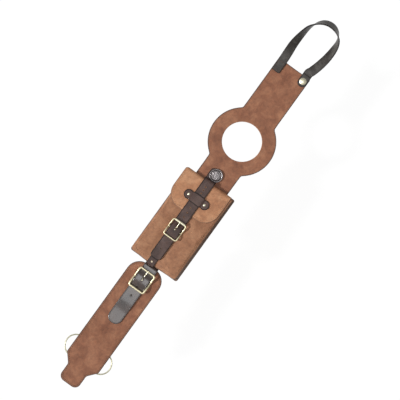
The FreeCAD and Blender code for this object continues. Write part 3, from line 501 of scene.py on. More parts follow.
def preset(shader, **values):
    """Sets a shader's plain inputs, whose names are written with underscores for spaces."""
    for key, value in values.items():
        shader.inputs[key.replace("_", " ")].default_value = value


def add(tree, kind, **values):
    """New shader node; values are its inputs' defaults or its settings."""
    node = tree.nodes.new(kind)
    for key, value in values.items():
        if key in node.inputs:
            node.inputs[key].default_value = value
        else:
            setattr(node, key, value)
    return node


def ramp(tree, source, stops):
    """Colour ramp over a value."""
    node = add(tree, "ShaderNodeValToRGB")
    tree.links.new(source, node.inputs[0])
    elements = node.color_ramp.elements
    while len(elements) < len(stops):
        elements.new(0.5)
    for element, (place, colour) in zip(elements, stops):
        element.position = place
        element.color = (*colour, 1)
    return node.outputs[0]


def mix(tree, factor, a, b, kind="MIX"):
    """Colour mix whose factor and colours are numbers, colours or sockets."""
    node = add(tree, "ShaderNodeMix", data_type="RGBA", blend_type=kind)
    for socket, value in ((node.inputs[0], factor), (node.inputs[6], a), (node.inputs[7], b)):
        if isinstance(value, (int, float)):
            socket.default_value = value
        elif isinstance(value, tuple):
            socket.default_value = (*value, 1)
        else:
            tree.links.new(value, socket)
    return node.outputs[2]


def grey(v):
    """Colour without a hue."""
    return (v, v, v)


def over(tree, place, kind, **values):
    """Procedural texture laid over a place."""
    node = add(tree, kind, **values)
    tree.links.new(place, node.inputs["Vector"])
    return node


def attribute(tree, name):
    """Outputs that read one of the mesh's own point attributes."""
    return add(tree, "ShaderNodeAttribute", attribute_name=name).outputs


def bump(tree, shader, height, strength, distance):
    """Fine surface relief from a height."""
    node = add(tree, "ShaderNodeBump", Strength=strength, Distance=distance)
    tree.links.new(height, node.inputs["Height"])
    tree.links.new(node.outputs[0], shader.inputs["Normal"])


def hairline_marks(tree, place):
    """Long thin scratches, as a mask."""
    stretch = over(tree, place, "ShaderNodeMapping")
    stretch.inputs["Scale"].default_value = (0.9, 0.045, 1.0)
    stretch.inputs["Rotation"].default_value = (0, 0, 0.35)
    hairs = over(tree, stretch.outputs[0], "ShaderNodeTexNoise", Scale=1.0, Detail=4.0, Roughness=0.7)
    return ramp(tree, hairs.outputs["Fac"], [(0.60, grey(0.0)), (0.70, grey(1.0))])


def burnish(tree, blots, width):
    """Mask of the dyed edge, uneven by the blots."""
    worn = add(tree, "ShaderNodeMath", operation="MULTIPLY_ADD")
    tree.links.new(blots, worn.inputs[0])
    worn.inputs[1].default_value = -1.6
    tree.links.new(attribute(tree, "edge")["Fac"], worn.inputs[2])
    scale = add(tree, "ShaderNodeMath", operation="DIVIDE")
    tree.links.new(worn.outputs[0], scale.inputs[0])
    scale.inputs[1].default_value = width * 2
    return ramp(tree, scale.outputs[0], [(0.0, grey(1.0)), (0.55, grey(0.0))])


def leather(name, base, light, dark, edge, core=(0.42, 0.24, 0.13), roughness=0.62, coat=0.0, coat_ior=1.5,
            pebble=0.22, edge_width=1.6, specular=0.35, scratch=0.3):
    """Waxed leather: clouds of colour, specks, hairline scratches, burnished edges and a pebbled grain."""
    material, tree, shader = node_tree(name)
    place = attribute(tree, "flat")["Vector"]
    clouds = over(tree, place, "ShaderNodeTexNoise", Scale=0.035, Detail=6.0, Roughness=0.6, Distortion=0.6)
    blots = over(tree, place, "ShaderNodeTexNoise", Scale=0.16, Detail=5.0, Roughness=0.65, Distortion=0.3)
    specks = over(tree, place, "ShaderNodeTexNoise", Scale=1.6, Detail=3.0, Roughness=0.7)
    grain = over(tree, place, "ShaderNodeTexVoronoi", Scale=1.15, Randomness=1.0)
    colour = ramp(tree, clouds.outputs["Fac"], [(0.30, dark), (0.5, base), (0.72, light)])
    tint = ramp(tree, blots.outputs["Fac"], [(0.30, grey(0.72)), (0.5, grey(1.0)), (0.70, grey(1.22))])
    colour = mix(tree, 0.75, colour, tint, "MULTIPLY")
    tint = ramp(tree, specks.outputs["Fac"], [(0.33, grey(0.62)), (0.52, grey(1.0)), (0.72, grey(1.25))])
    colour = mix(tree, 0.5, colour, tint, "MULTIPLY")
    faint = mix(tree, scratch, grey(0.0), hairline_marks(tree, place))
    colour = mix(tree, faint, colour, light)
    colour = mix(tree, burnish(tree, blots.outputs["Fac"], edge_width), colour, edge)
    # Mixes towards the core colour where the mesh marks it: the raw cut walls of holes on the sheets, and a
    # painted shade over the pouch bag's side walls and shoulder.
    colour = mix(tree, attribute(tree, "core")["Fac"], colour, core)
    tree.links.new(colour, shader.inputs["Base Color"])
    rough = ramp(tree, blots.outputs["Fac"], [(0.3, grey(roughness - 0.1)), (0.7, grey(roughness + 0.1))])
    tree.links.new(rough, shader.inputs["Roughness"])
    cells = ramp(tree, grain.outputs["Distance"], [(0.0, grey(0.0)), (0.55, grey(1.0))])
    relief = mix(tree, 0.45, cells, specks.outputs["Color"])
    relief = mix(tree, 0.35, relief, blots.outputs["Color"])
    bump(tree, shader, relief, pebble, 0.0006)
    preset(shader, Specular_IOR_Level=specular, Coat_Weight=coat, Coat_Roughness=0.28, Coat_IOR=coat_ior)
    return material


def metal(name, base, dull, roughness, bump_strength=0.06, worn=0.5):
    """Metal with fine handling marks, darker recesses and uneven polish."""
    material, tree, shader = node_tree(name)
    place = add(tree, "ShaderNodeTexCoord").outputs["Object"]
    clouds = over(tree, place, "ShaderNodeTexNoise", Scale=160.0, Detail=5.0, Roughness=0.6)
    fine = over(tree, place, "ShaderNodeTexNoise", Scale=1800.0, Detail=3.0, Roughness=0.6)
    point = add(tree, "ShaderNodeNewGeometry").outputs["Pointiness"]
    hollow = ramp(tree, point, [(0.43, grey(1.0)), (0.50, grey(0.0))])
    patina = ramp(tree, clouds.outputs["Fac"], [(0.42, grey(0.0)), (0.75, grey(worn))])
    colour = mix(tree, patina, base, dull)
    colour = mix(tree, hollow, colour, dull)
    tree.links.new(colour, shader.inputs["Base Color"])
    rough = ramp(tree, clouds.outputs["Fac"], [(0.3, grey(roughness)), (0.8, grey(roughness + 0.16))])
    tree.links.new(rough, shader.inputs["Roughness"])
    shader.inputs["Metallic"].default_value = 1.0
    bump(tree, shader, fine.outputs["Fac"], bump_strength, 0.0002)
    return material


def relief_metal(name, bright, recess):
    """Antiqued silver whose low places, held in the mesh's relief, are oxidised."""
    material, tree, shader = node_tree(name)
    low = attribute(tree, "relief")["Fac"]
    place = add(tree, "ShaderNodeTexCoord").outputs["Object"]
    clouds = over(tree, place, "ShaderNodeTexNoise", Scale=700.0, Detail=4.0, Roughness=0.65)
    colour = ramp(tree, low, [(0.15, recess), (0.55, bright)])
    tint = ramp(tree, clouds.outputs["Fac"], [(0.35, grey(0.7)), (0.65, grey(1.1))])
    colour = mix(tree, 0.8, colour, tint, "MULTIPLY")
    tree.links.new(colour, shader.inputs["Base Color"])
    rough = ramp(tree, low, [(0.15, grey(0.6)), (0.6, grey(0.27))])
    tree.links.new(rough, shader.inputs["Roughness"])
    shader.inputs["Metallic"].default_value = 0.9
    bump(tree, shader, clouds.outputs["Fac"], 0.15, 0.0003)
    return material


def thread(name, base, shade):
    """Waxed linen: twisted plies along the thread."""
    material, tree, shader = node_tree(name)
    place = add(tree, "ShaderNodeTexCoord").outputs["Object"]
    twist = over(tree, place, "ShaderNodeTexWave", Scale=420.0, Distortion=3.0)
    twist.bands_direction = "DIAGONAL"
    colour = ramp(tree, twist.outputs["Fac"], [(0.1, shade), (0.8, base)])
    tree.links.new(colour, shader.inputs["Base Color"])
    bump(tree, shader, twist.outputs["Fac"], 0.4, 0.0002)
    shader.inputs["Roughness"].default_value = 0.7
    return material


# Each leather's colours: usual, worn light, waxed dark, dyed edge.
TAN = leather("tan_leather_look", (0.292, 0.119, 0.063), (0.385, 0.175, 0.095), (0.205, 0.078, 0.041),
              (0.085, 0.050, 0.038))
# The pouch leather's core colour is a painted shade: the bag's side walls and shoulder are darkened towards it.
POUCH_TAN = leather("pouch_leather_look", (0.365, 0.168, 0.088), (0.46, 0.232, 0.125), (0.27, 0.115, 0.058),
                    (0.105, 0.068, 0.052), core=(0.150, 0.088, 0.060))
FLAP_TAN = leather("flap_leather_look", (0.475, 0.222, 0.113), (0.60, 0.325, 0.18), (0.35, 0.150, 0.075),
                   (0.24, 0.13, 0.08), edge_width=0.8)
LINING = leather("lining_look", (0.30, 0.18, 0.11), (0.38, 0.24, 0.15), (0.22, 0.13, 0.08),
                 (0.12, 0.07, 0.05), roughness=0.85, pebble=0.35)
DARK = leather("dark_leather_look", (0.081, 0.045, 0.037), (0.134, 0.084, 0.071), (0.048, 0.028, 0.024),
               (0.022, 0.015, 0.013), core=(0.30, 0.19, 0.12), roughness=0.5, pebble=0.16, specular=0.4)
LOOP_DARK = leather("loop_leather_look", (0.046, 0.040, 0.035), (0.104, 0.096, 0.085), (0.022, 0.017, 0.014),
                    (0.016, 0.012, 0.010), roughness=0.42, pebble=0.2, specular=0.45)
POLISHED = leather("bridle_leather_look", (0.050, 0.030, 0.024), (0.085, 0.058, 0.046), (0.026, 0.017, 0.014),
                   (0.018, 0.012, 0.010), core=(0.030, 0.020, 0.016), roughness=0.4, coat=1.0, coat_ior=1.8,
                   pebble=0.06, specular=0.3, scratch=0.15)
BRASS = metal("polished_brass_look", (1.0, 0.92, 0.64), (0.82, 0.68, 0.38), 0.42, worn=0.3)
RING_BRASS = metal("ring_brass_look", (0.60, 0.57, 0.42), (0.48, 0.44, 0.30), 0.40, bump_strength=0.02,
                   worn=0.2)
OLD_BRASS = metal("old_brass_look", (0.50, 0.42, 0.30), (0.20, 0.14, 0.08), 0.35)
PALE_BRASS = metal("pale_brass_look", (1.0, 0.95, 0.72), (0.86, 0.74, 0.46), 0.36, worn=0.3)
STEEL = metal("nickel_look", (0.66, 0.65, 0.63), (0.40, 0.38, 0.36), 0.25)
COPPER = metal("copper_rivet_look", (0.80, 0.50, 0.36), (0.35, 0.18, 0.12), 0.3)
SILVER = relief_metal("antique_silver_look", (0.315, 0.288, 0.288), (0.050, 0.040, 0.038))
TAN_THREAD = thread("tan_thread_look", (0.66, 0.44, 0.26), (0.40, 0.24, 0.14))
FRONT_THREAD = thread("front_thread_look", (0.42, 0.23, 0.13), (0.26, 0.13, 0.075))
BROWN_THREAD = thread("brown_thread_look", (0.20, 0.11, 0.07), (0.10, 0.055, 0.035))


# ---- tank panel ----
RIVET_SEAT_R = 3.65
SCREW_SEAT_R = 5.15
POST_SEAT_R = 4.65
BURR_SEAT_R = 3.15
PANEL_CORNER_R = 3.8
RING_BLEND = 2.5  # softness of the joins between the ring and the straight sides
TOP_DIP = 1.5


def panel_side():
    """(x, y) places up the right side, round the filler-cap ring."""
    ring_r = PANEL[1].x
    side = []
    for y in np.arange(PANEL[0].y + 5, PANEL[1].y - 5, 1.6):
        round_half = math.sqrt(max(ring_r**2 - y * y, 0.0))
        gap = HALF_STRAP - round_half
        x = (HALF_STRAP + round_half + math.sqrt(gap * gap + RING_BLEND**2)) / 2
        side.append((min(x, ring_r) if abs(y) < ring_r else HALF_STRAP, y, 0))
    return side


def panel_outline():
    """Straight strap with a ring, and a top edge that dips between the loop's ends."""
    side = panel_side()
    low, high = PANEL[0].y, PANEL[1].y
    top = []
    for k in range(2, 19):
        x = HALF_STRAP * (1 - k / 10)
        top.append((x, high - TOP_DIP * (1 - (x / HALF_STRAP) ** 2), 0))
    corners = [(-HALF_STRAP, low, PANEL_CORNER_R), (HALF_STRAP, low, PANEL_CORNER_R)] + side
    corners += [(HALF_STRAP, high, PANEL_CORNER_R)] + top + [(-HALF_STRAP, high, PANEL_CORNER_R)]
    return rounded(corners + [(-x, y, r) for x, y, r in reversed(side)])


def seats(node, radius):
    """Round holes that let the heads of a node's rivets or screws show."""
    return [circle(x, y, radius, 30) for x, y in rivet_middles(node, 11.0)]


PANEL_THICK = PANEL[1].z - PANEL[0].z
panel_holes = [circle(0, 0, CAP_HOLE_R, 130)]
panel_holes += seats("pouch_rivets", RIVET_SEAT_R) + seats("link_rivets", RIVET_SEAT_R)
panel_holes += seats("concho_screw", SCREW_SEAT_R) + seats("snap_post", POST_SEAT_R)
tank_panel = sheet("tank_panel_leather", panel_outline(), level(PANEL_THICK / 2), PANEL_THICK, TAN,
                   holes=panel_holes, crease=2.6, hole_reach=3.6, wave=0.12, seed=3.1)
fit(tank_panel, "tank_body", "tan_leather", "tank_panel")


# ---- lower panel, lining and its stitches ----
LOWER_RISE = LOWER[1].z - PANEL_THICK
LINING_THICK = 1.5
LOWER_THICK = PANEL_THICK - LINING_THICK - GAP
SHOULDER_Y, NECK_Y = -569.0, -589.0
RISE_FROM_Y, RISE_TO_Y = -478.0, -522.0
TAB_HALF = 23.5
EDGE_PITCH = 4.6


def lower_track(middle):
    """Side view of the lower panel, which climbs over the rings' keeper."""
    return Track([(LOWER[1].y, middle, 0), (RISE_FROM_Y, middle, 90), (RISE_TO_Y, middle + LOWER_RISE, 90),
                  (LOWER[0].y - 3, middle + LOWER_RISE, 0)])


def lower_outline(track):
    """Strap with a round top end, shoulders and a narrower seat tab."""
    def s(y):
        return float(np.interp(-y, -track.p[:, 0], track.s))
    right = [(HALF_STRAP, s(LOWER[1].y), 30), (HALF_STRAP, s(SHOULDER_Y), 5), (TAB_HALF, s(NECK_Y), 9),
             (TAB_HALF, s(LOWER[0].y), 13)]
    left = [(-x, y, r) for x, y, r in reversed(right)]
    return rounded(right + left)


track = lower_track((LINING_THICK + GAP + PANEL_THICK) / 2)
lower_place = along_y(track)
lower_loop = lower_outline(track)
lower_panel = sheet("lower_panel_leather", lower_loop, lower_place, LOWER_THICK, TAN, crease=2.4, wave=0.1,
                    seed=8.4)
fit(lower_panel, "lower_body", "tan_leather", "lower_panel")
lining_track = lower_track(LINING_THICK / 2)
chape_rivets = rivet_middles("large_chape_rivets")
lining_holes = [circle(x, LOWER[1].y - y, RIVET_SEAT_R, 30) for x, y in chape_rivets]
lining = sheet("lower_lining_leather", lower_outline(lining_track), along_y(lining_track), LINING_THICK,
               LINING, holes=lining_holes, wave=0.05, seed=8.4)
fit(lining, "lower_body", "lining_leather", "lower_lining")
edge_line = resampled(lower_loop, EDGE_PITCH)
edge_line = edge_line + inward(edge_line) * 3.9
seam = stitches("lower_panel_stitches", list(edge_line) + [edge_line[0]], lower_place, BROWN_THREAD,
                (PANEL_THICK - LINING_THICK) / 2, EDGE_PITCH, 3.4)
fit(seam, "lower_body", "thread")


# ---- pouch ----
FLAP_THICK = 2.2
CLOSURE_THICK = 2.4
BODY_LEFT, BODY_RIGHT = BACK[0].x + 0.9, BACK[1].x + 1.2
BODY_HALF = (BODY_RIGHT - BODY_LEFT) / 2
FACE_HALF = 57.4
FACE_X = BODY_LEFT + FACE_HALF
MOUTH_EDGE = MOUTH_Y - 4.0
FOOT_EDGE = BACK[0].y + 1.6
WALL_FOOT_Z = BACK[1].z - 1.0
SHOULDER_R = 2.6
FOLD_DEPTH = 2.6
BAG_GRID = 4.2
SHOULDER_ANGLES = (0, 25, 50, 75)
WALL_LEVELS = (0.0, 0.2, 0.4, 0.6, 0.8, 1.0)
BACK_TOP = BACK[1].y - 0.6
BACK_MIDDLE = BACK[0].z + FLAP_THICK / 2
pouch_back_outline = strip(BODY_LEFT, BODY_RIGHT, BACK[0].y, BACK_TOP, 5, 3.8)
pouch_back = sheet("pouch_back_leather", pouch_back_outline, level(BACK_MIDDLE), FLAP_THICK, POUCH_TAN,
                   wave=0.05, seed=5.5)
fit(pouch_back, "tank_body", "tan_leather", "pouch_back")


def face_height(y):
    """Height of the pouch's sloping front."""
    return MOUTH_Z + (MOUTH_Y - y) * math.tan(SLOPE)


def bag_line():
    """The front's edge from mouth to mouth round the foot, with its outward directions."""
    corners = [(-FACE_HALF, MOUTH_EDGE, 0), (-FACE_HALF, FOOT_EDGE, 9), (FACE_HALF, FOOT_EDGE, 9),
               (FACE_HALF, MOUTH_EDGE, 0)]
    line = rounded(corners, closed=False)
    fine = [line[0]]
    for p, q in zip(line, line[1:]):
        count = max(1, round(np.linalg.norm(q - p) / 4.0))
        fine += [p + (q - p) * (k / count) for k in range(1, count + 1)]
    line = np.array(fine)
    way = np.gradient(line, axis=0)
    way /= np.linalg.norm(way, axis=1)[:, None]
    out = np.stack([way[:, 1], -way[:, 0]], 1)
    out[0], out[-1] = (-1, 0), (1, 0)
    return line, out


class Bag:
    """Front, rounded shoulder and folded side wall of the pouch as one skin."""

    def __init__(self):
        self.points, self.faces, self.pins, self.walls, self.flat = [], [], [], [], []

    def add(self, point, pin, wall, flat):
        self.points.append(point)
        self.pins.append(pin)
        self.walls.append(wall)
        self.flat.append(flat)

    def add_walls(self, line, out):
        """Rings from the front's edge, over the shoulder and down the folded wall."""
        n = len(line)
        angles = [math.radians(a) for a in SHOULDER_ANGLES]
        levels = [(SHOULDER_R * (1 - math.sin(a)), SHOULDER_R * (1 - math.cos(a)), 0.0) for a in angles]
        levels += [(0.0, SHOULDER_R, t) for t in WALL_LEVELS]
        for inset, drop, t in levels:
            shift = FACE_X * (1 - t) + (BODY_LEFT + BODY_RIGHT) / 2 * t
            grow = 1 + (BODY_HALF / FACE_HALF - 1) * t
            # wall also sets how much of the pouch material's painted shade the side wall and the shoulder get.
            wall = min(1.0, t * 1.5 + drop / SHOULDER_R * 0.45)
            for i in range(n):
                x, y = line[i] - out[i] * inset
                top_z = face_height(y) - drop
                z = top_z + (WALL_FOOT_Z - top_z) * t
                fold = -FOLD_DEPTH * math.sin(math.pi * t) * (0.1 + 0.9 * abs(out[i][0]))
                pin = 1.0 if t == 1.0 else (0.5 if i in (0, n - 1) else 0.0)
                point = (x * grow + shift + out[i][0] * fold, y + out[i][1] * (fold + t), z)
                self.add(point, pin, wall, (x, y, drop + t * 20))
        self.faces += quads(0, n, len(levels), closed=False)

    def add_front(self, rim_line):
        """Triangulated front inside the shoulder."""
        n = len(rim_line)
        border = [Vector(p) for p in rim_line]
        mouth_x = np.linspace(border[-1].x, border[0].x, 28)[1:-1]
        loop = np.array(border + [Vector((x, MOUTH_EDGE)) for x in mouth_x])
        near = nearest(loop)
        dots = staggered((-FACE_HALF + 5, FOOT_EDGE + 5), (FACE_HALF - 3, MOUTH_EDGE - 2), BAG_GRID)
        dots = [p for p in dots[inside(dots, loop)] if near(p) > BAG_GRID * 0.55]
        index = list(range(n))
        for x, y in map(Vector, [*loop[n:], *dots]):
            index.append(len(self.points))
            pin = 0.9 if y > MOUTH_EDGE - 1 else 0.0
            self.add((x + FACE_X, y, face_height(y)), pin, 0.0, (x, y, 0.0))
        self.faces += [tuple(index[i] for i in t) for t in face_triangles([loop], dots)]


SIM_FRAMES = 16
WALL_GIVE, FRONT_GIVE = 1.6, 2.0  # farthest that the simulation may move the leather
STRAP_HOLD = 21.0  # half width of the front that the closure strap keeps down
FLAP_HOLD = 6.0  # the flap keeps the front down this far below its edge
IS_WALL = 0.3


def inflate(obj, pins):
    """Cloth simulation that fills the pouch a little, as if it held a soft roll."""
    group = obj.vertex_groups.new(name="pins")
    for i, weight in enumerate(pins):
        if weight:
            group.add([i], weight, "REPLACE")
    cloth = obj.modifiers.new("cloth", "CLOTH")
    settings = cloth.settings
    settings.quality = 8
    settings.mass = 0.5
    settings.tension_stiffness = settings.compression_stiffness = 40
    settings.shear_stiffness = 20
    settings.bending_stiffness = 12
    settings.use_pressure = True
    settings.uniform_pressure_force = 4.0
    settings.vertex_group_mass = "pins"
    settings.effector_weights.gravity = 0
    cloth.collision_settings.use_collision = False
    cloth.point_cache.frame_start = 1
    cloth.point_cache.frame_end = SIM_FRAMES
    scene = bpy.context.scene
    for f in range(1, SIM_FRAMES + 1):
        scene.frame_set(f)
    depsgraph = bpy.context.evaluated_depsgraph_get()
    moved = obj.evaluated_get(depsgraph).to_mesh()
    out = np.zeros(len(moved.vertices) * 3)
    moved.vertices.foreach_get("co", out)
    obj.modifiers.remove(cloth)
    scene.frame_set(1)
    return out.reshape(-1, 3) / MM


def settle(rest, moved, walls):
    """Keeps the simulated movement small, and smallest where the flap and the straps lie on the front."""
    shift = moved - rest
    limit = np.where(np.array(walls) > IS_WALL, WALL_GIVE, FRONT_GIVE)
    size = np.linalg.norm(shift, axis=1)
    shift *= np.minimum(1, limit / np.maximum(size, 1e-6))[:, None]
    under_strap = np.exp(-(((rest[:, 0] - CLOSURE_X) / STRAP_HOLD) ** 4))
    under_flap = 1 / (1 + np.exp((FLAP[0].y - FLAP_HOLD - rest[:, 1]) / 4.0))
    hold = np.maximum(under_strap, under_flap) * (np.array(walls) < IS_WALL)
    shift[:, 2] -= hold * np.maximum(shift[:, 2] + 0.1, 0)
    return rest + shift


skin = Bag()
edge_points, outward = bag_line()
skin.add_walls(edge_points, outward)
skin.add_front(edge_points - outward * SHOULDER_R)
rest = np.array(skin.points)
near_edge = [FAR_IN - 5.0 * w for w in skin.walls]
# The wall share goes into the attribute that marks raw cut walls on the sheets; on the bag it paints shade over
# the side walls and the shoulder.
bag = new_object("pouch_bag", rest, skin.faces, POUCH_TAN,
                 {"flat": np.array(skin.flat), "edge": near_edge, "core": skin.walls})
settled = settle(rest, inflate(bag, skin.pins), skin.walls)
bag.data.vertices.foreach_set("co", (settled * MM).ravel())
bag.data.update()
thicken = bag.modifiers.new("thickness", "SOLIDIFY")
thicken.thickness = 2.0 * MM
thicken.offset = -1
smoother = bag.modifiers.new("smooth", "SUBSURF")
smoother.levels = smoother.render_levels = 1
fit(bag, "tank_body", "tan_leather", "pouch_front", "pouch_gusset")


# ---- flap ----
RISER_Y = JOINT["flap_open"].y
FLAP_UP = GAP + FLAP_THICK / 2
FLAP_LENGTH = 81.5
FLAP_BASE_R = 2.9
KEEPER_ALONG = -46.0
flap_corner_z = off_front((RISER_Y - MOUTH_Y) / math.cos(SLOPE), FLAP_UP)[1]
flap_track = Track([(RISER_Y, BACK[0].z + FLAP_THICK, 0), (RISER_Y, flap_corner_z, 3.2),
                    (*off_front(-FLAP_LENGTH, FLAP_UP), 0)])
flap_end = flap_track.length
flap_left, flap_right = FLAP[0].x, FLAP[1].x
flap_outline = rounded([(BODY_LEFT + 1, 0, FLAP_BASE_R), (flap_right, 0, FLAP_BASE_R),
                        (flap_right, flap_end, 34), (flap_left, flap_end, 34), (flap_left, 9, 4),
                        (BODY_LEFT + 1, 5, 3)])
flap_place = along_y(flap_track)
burr_s = flap_track.find(*off_front(KEEPER_ALONG, FLAP_UP))
flap_holes = [circle(x, burr_s, BURR_SEAT_R, 24) for x, _ in rivet_middles("keeper_burrs")]
flap = sheet("flap_leather", flap_outline, flap_place, FLAP_THICK, FLAP_TAN, holes=flap_holes,
             crease=2.3, reach=2.9, wave=0.16, seed=1.7)
fit_bend(flap, ("tank_body", "flap"), (RISER_Y + 1, BACK[1].z - 1), (RISER_Y - 1, flap_corner_z),
         "flap_leather", "pouch_flap")

half_closure = (CLOSURE[1].x - CLOSURE[0].x) / 2


def inset_runs(outline, distance, step, keep):
    """Stretches of a line inside an outline, where keep is true of its points."""
    loop = resampled(outline, step)
    loop = loop + inward(loop) * distance
    runs, run = [], []
    start = next(i for i, p in enumerate(loop) if not keep(p))
    for i in range(len(loop)):
        p = loop[(start + i) % len(loop)]
        if keep(p):
            run.append(p)
        elif run:
            runs.append(run)
            run = []
    if run:
        runs.append(run)
    return [r for r in runs if len(r) > 1]


def seams(name, runs, place, material, height, pitch, length, body, node):
    """One row of stitches for each run; the first stands for the CAD's stitching."""
    for k, run in enumerate(runs):
        row = stitches(f"{name}_{k}", run, place, material, height, pitch, length)
        fit(row, body, "thread", *([] if k else [node]))


FLAP_INSET, FLAP_PITCH = 4.2, 4.0
FRONT_INSET, FRONT_PITCH = 6.5, 4.4


def on_flap(p):
    """The flap's face, clear of the closure strap."""
    return p[1] > 14 and abs(p[0] - CLOSURE_X) > half_closure + 1


def on_open_front(p):
    """The pouch's front below the flap, clear of the closure strap."""
    return p[1] > FLAP_LENGTH - 30 and abs(p[0] - CLOSURE_X) > 11


flap_runs = inset_runs(flap_outline, FLAP_INSET, FLAP_PITCH, on_flap)
seams("flap_stitches", flap_runs, flap_place, TAN_THREAD, FLAP_THICK / 2, FLAP_PITCH, 3.0, "flap",
      "flap_stitching")

# ---- pouch stitches ----
front_track = Track([(*off_front(0, 0), 0), (*off_front(-FRONT_LENGTH, 0), 0)])
bag_surface = BVHTree.FromObject(bag, bpy.context.evaluated_depsgraph_get())
FAR_ABOVE = 60.0


def on_bag(u, s, h):
    """Lays points on the filled front, found from straight above."""
    points = along_y(front_track)(u, s, 0 * h)
    for point, lift in zip(points, h):
        hit = bag_surface.ray_cast(Vector((point[0], point[1], FAR_ABOVE)) * MM, Vector((0, 0, -1)))[0]
        point[2] = (hit.z / MM if hit else point[2]) + lift
    return points


front_outline = strip(FACE_X - FACE_HALF, FACE_X + FACE_HALF, 0, FRONT_LENGTH - 2.5, 1, 13)
front_runs = inset_runs(front_outline, FRONT_INSET, FRONT_PITCH, on_open_front)
seams("pouch_stitches", front_runs, on_bag, FRONT_THREAD, GAP, FRONT_PITCH, 3.2, "tank_body",
      "pouch_stitching")

# ---- closure strap ----
STRAP_UP = 3 * GAP + FLAP_THICK + CLOSURE_THICK / 2
BAR_ALONG = -123.5
BAR_UP = 3.33
FOLD_R = 1.48
CHAPE_THICK = 1.8


ARCH_FOOT, ARCH_TOP = 18.5, 6.5  # half lengths of a strap's climb over a buckle, at its foot and top


def arch(along, low, top, radius, dip):
    """A strap's climb over a centre bar; it sags by dip just before the buckle's top bar."""
    places = [(along + ARCH_FOOT, low - dip), (along + ARCH_TOP, top), (along - ARCH_TOP, top),
              (along - ARCH_FOOT, low)]
    return [(a, up, radius) for a, up in places]


strap_riser = MOUTH_Y + 2.5
anchor_z = middle_of(ANCHOR).z
PRONG_HOLES = (-14, -22, -30, -68, -80, -91, -172)
turn_up = off_front((strap_riser - MOUTH_Y) / math.cos(SLOPE), STRAP_UP)[1]
over_bar = BAR_UP + FOLD_R + CHAPE_THICK + 2 * GAP + CLOSURE_THICK / 2
corners = [(ANCHOR[1].y, anchor_z, 0), (strap_riser, anchor_z, 2.6), (strap_riser, turn_up, 4.8)]
corners.append((*off_front(-FLAP_LENGTH - 1, STRAP_UP), 30))
corners += [(*off_front(a, up), r) for a, up, r in arch(BAR_ALONG, STRAP_UP, over_bar, 9, 0.75)]
corners.append((*off_front(-197.0, STRAP_UP), 0))
closure_track = Track(corners)
closure_place = along_y(closure_track)


def closure_s(along, up=STRAP_UP):
    """Length along the closure strap at a distance along the pouch front."""
    return closure_track.find(*off_front(along, up))


closure_outline = strip(CLOSURE[0].x, CLOSURE[1].x, 0, closure_track.length, 9, 9.5)
closure_holes = [circle(CLOSURE_X, closure_s(a), 1.5) for a in PRONG_HOLES]
slot_top = closure_s(BAR_ALONG + 12.5, 6)
closure_holes.append(slot_hole(CLOSURE_X, slot_top, closure_s(BAR_ALONG - 1.2, over_bar), 1.5))
closure = sheet("closure_strap_leather", closure_outline, closure_place, CLOSURE_THICK, DARK,
                holes=closure_holes, grid=2.6, crease=2.0, reach=2.7, wave=0.1, seed=2.2)
fit_bend(closure, ("tank_body", "flap"), (-103.0, 5.0), (-112.0, 16.0), "dark_leather", "closure_strap",
         "closure_strap_anchor")

# ---- keeper ----
KEEPER_THICK = 2.0
ear_up = 2 * GAP + FLAP_THICK + KEEPER_THICK / 2
bridge_up = STRAP_UP + CLOSURE_THICK / 2 + GAP + KEEPER_THICK / 2
step_x = half_closure + 0.3
keeper_half = (KEEPER[1].x - KEEPER[0].x) / 2
keeper_corners = [(keeper_half, ear_up, 0), (step_x + 1.6, ear_up, 1.6), (step_x + 0.4, bridge_up, 1.6),
                  (-step_x - 0.4, bridge_up, 1.6), (-step_x - 1.6, ear_up, 1.6), (-keeper_half, ear_up, 0)]
keeper_track = Track([(CLOSURE_X + x, up, r) for x, up, r in keeper_corners])


EAR_R, BAR_HALF, WIDE_HALF, WIDE_TO = 10.5, 9.0, 11.6, 13.6


def keeper_outline():
    """Two round ears joined by a bar that is wider in the middle."""
    reach = keeper_track.length / 2
    ear_at = reach - EAR_R
    upper = []
    for t in np.linspace(0, ear_at, 26):
        circle_half = math.sqrt(max(0.0, EAR_R**2 - (ear_at - t) ** 2))
        middle = BAR_HALF + (WIDE_HALF - BAR_HALF) / (1 + math.exp((t - WIDE_TO) / 0.7))
        gap = circle_half - middle
        upper.append((t, (circle_half + middle + math.sqrt(gap * gap + 1.0)) / 2 - 0.2))
    straight = list(upper)
    for k in range(1, 18):
        a = math.pi / 2 - math.pi * k / 18
        upper.append((ear_at + EAR_R * math.cos(a), EAR_R * math.sin(a)))
    right = upper + [(t, -h) for t, h in reversed(straight)]
    left = [(-t, h) for t, h in reversed(right)]
    return [np.array([KEEPER_ALONG + h, reach + t]) for t, h in right[:-1] + left[1:]]


keeper = sheet("keeper_leather", keeper_outline(), across(keeper_track, off_front), KEEPER_THICK, DARK,
               grid=2.4, step=1.4, crease=1.7, reach=2.4, wave=0.08, seed=9.3)
fit(keeper, "flap", "dark_leather", "closure_keeper")


# ---- chapes ----
def round_bar(y, z, radius):
    """Half circle round a buckle's centre bar, from below to above."""
    turns = [math.radians(-90 + 180 * k / 12) for k in range(13)]
    return [(y + radius * math.cos(t), z + radius * math.sin(t), 0) for t in turns]


def chape(name, start, bar, width, x, material, place_of):
    """Folded leather that holds a centre bar, slotted for the prong."""
    radius = FOLD_R + CHAPE_THICK / 2
    low = bar[1] - radius
    points = start + round_bar(bar[0], bar[1], radius)
    points += [(bar[0] - 3, low + 2 * radius, 3), (bar[0] - 12, low + CHAPE_THICK, 0)]
    fold = Track([(*place_of(a, b), r) for a, b, r in points])
    slot_from = fold.find(*place_of(bar[0] - 3.6, low))
    slot_to = fold.find(*place_of(bar[0] - 3.6, low + 2 * radius))
    outline = strip(x - width / 2, x + width / 2, 0, fold.length, 4, 2)
    slot = slot_hole(x, slot_from, slot_to, 2.2)
    return sheet(name, outline, along_y(fold), CHAPE_THICK, material, holes=[slot], grid=2.4, step=1.3,
                 reach=1.6, wave=0.04)


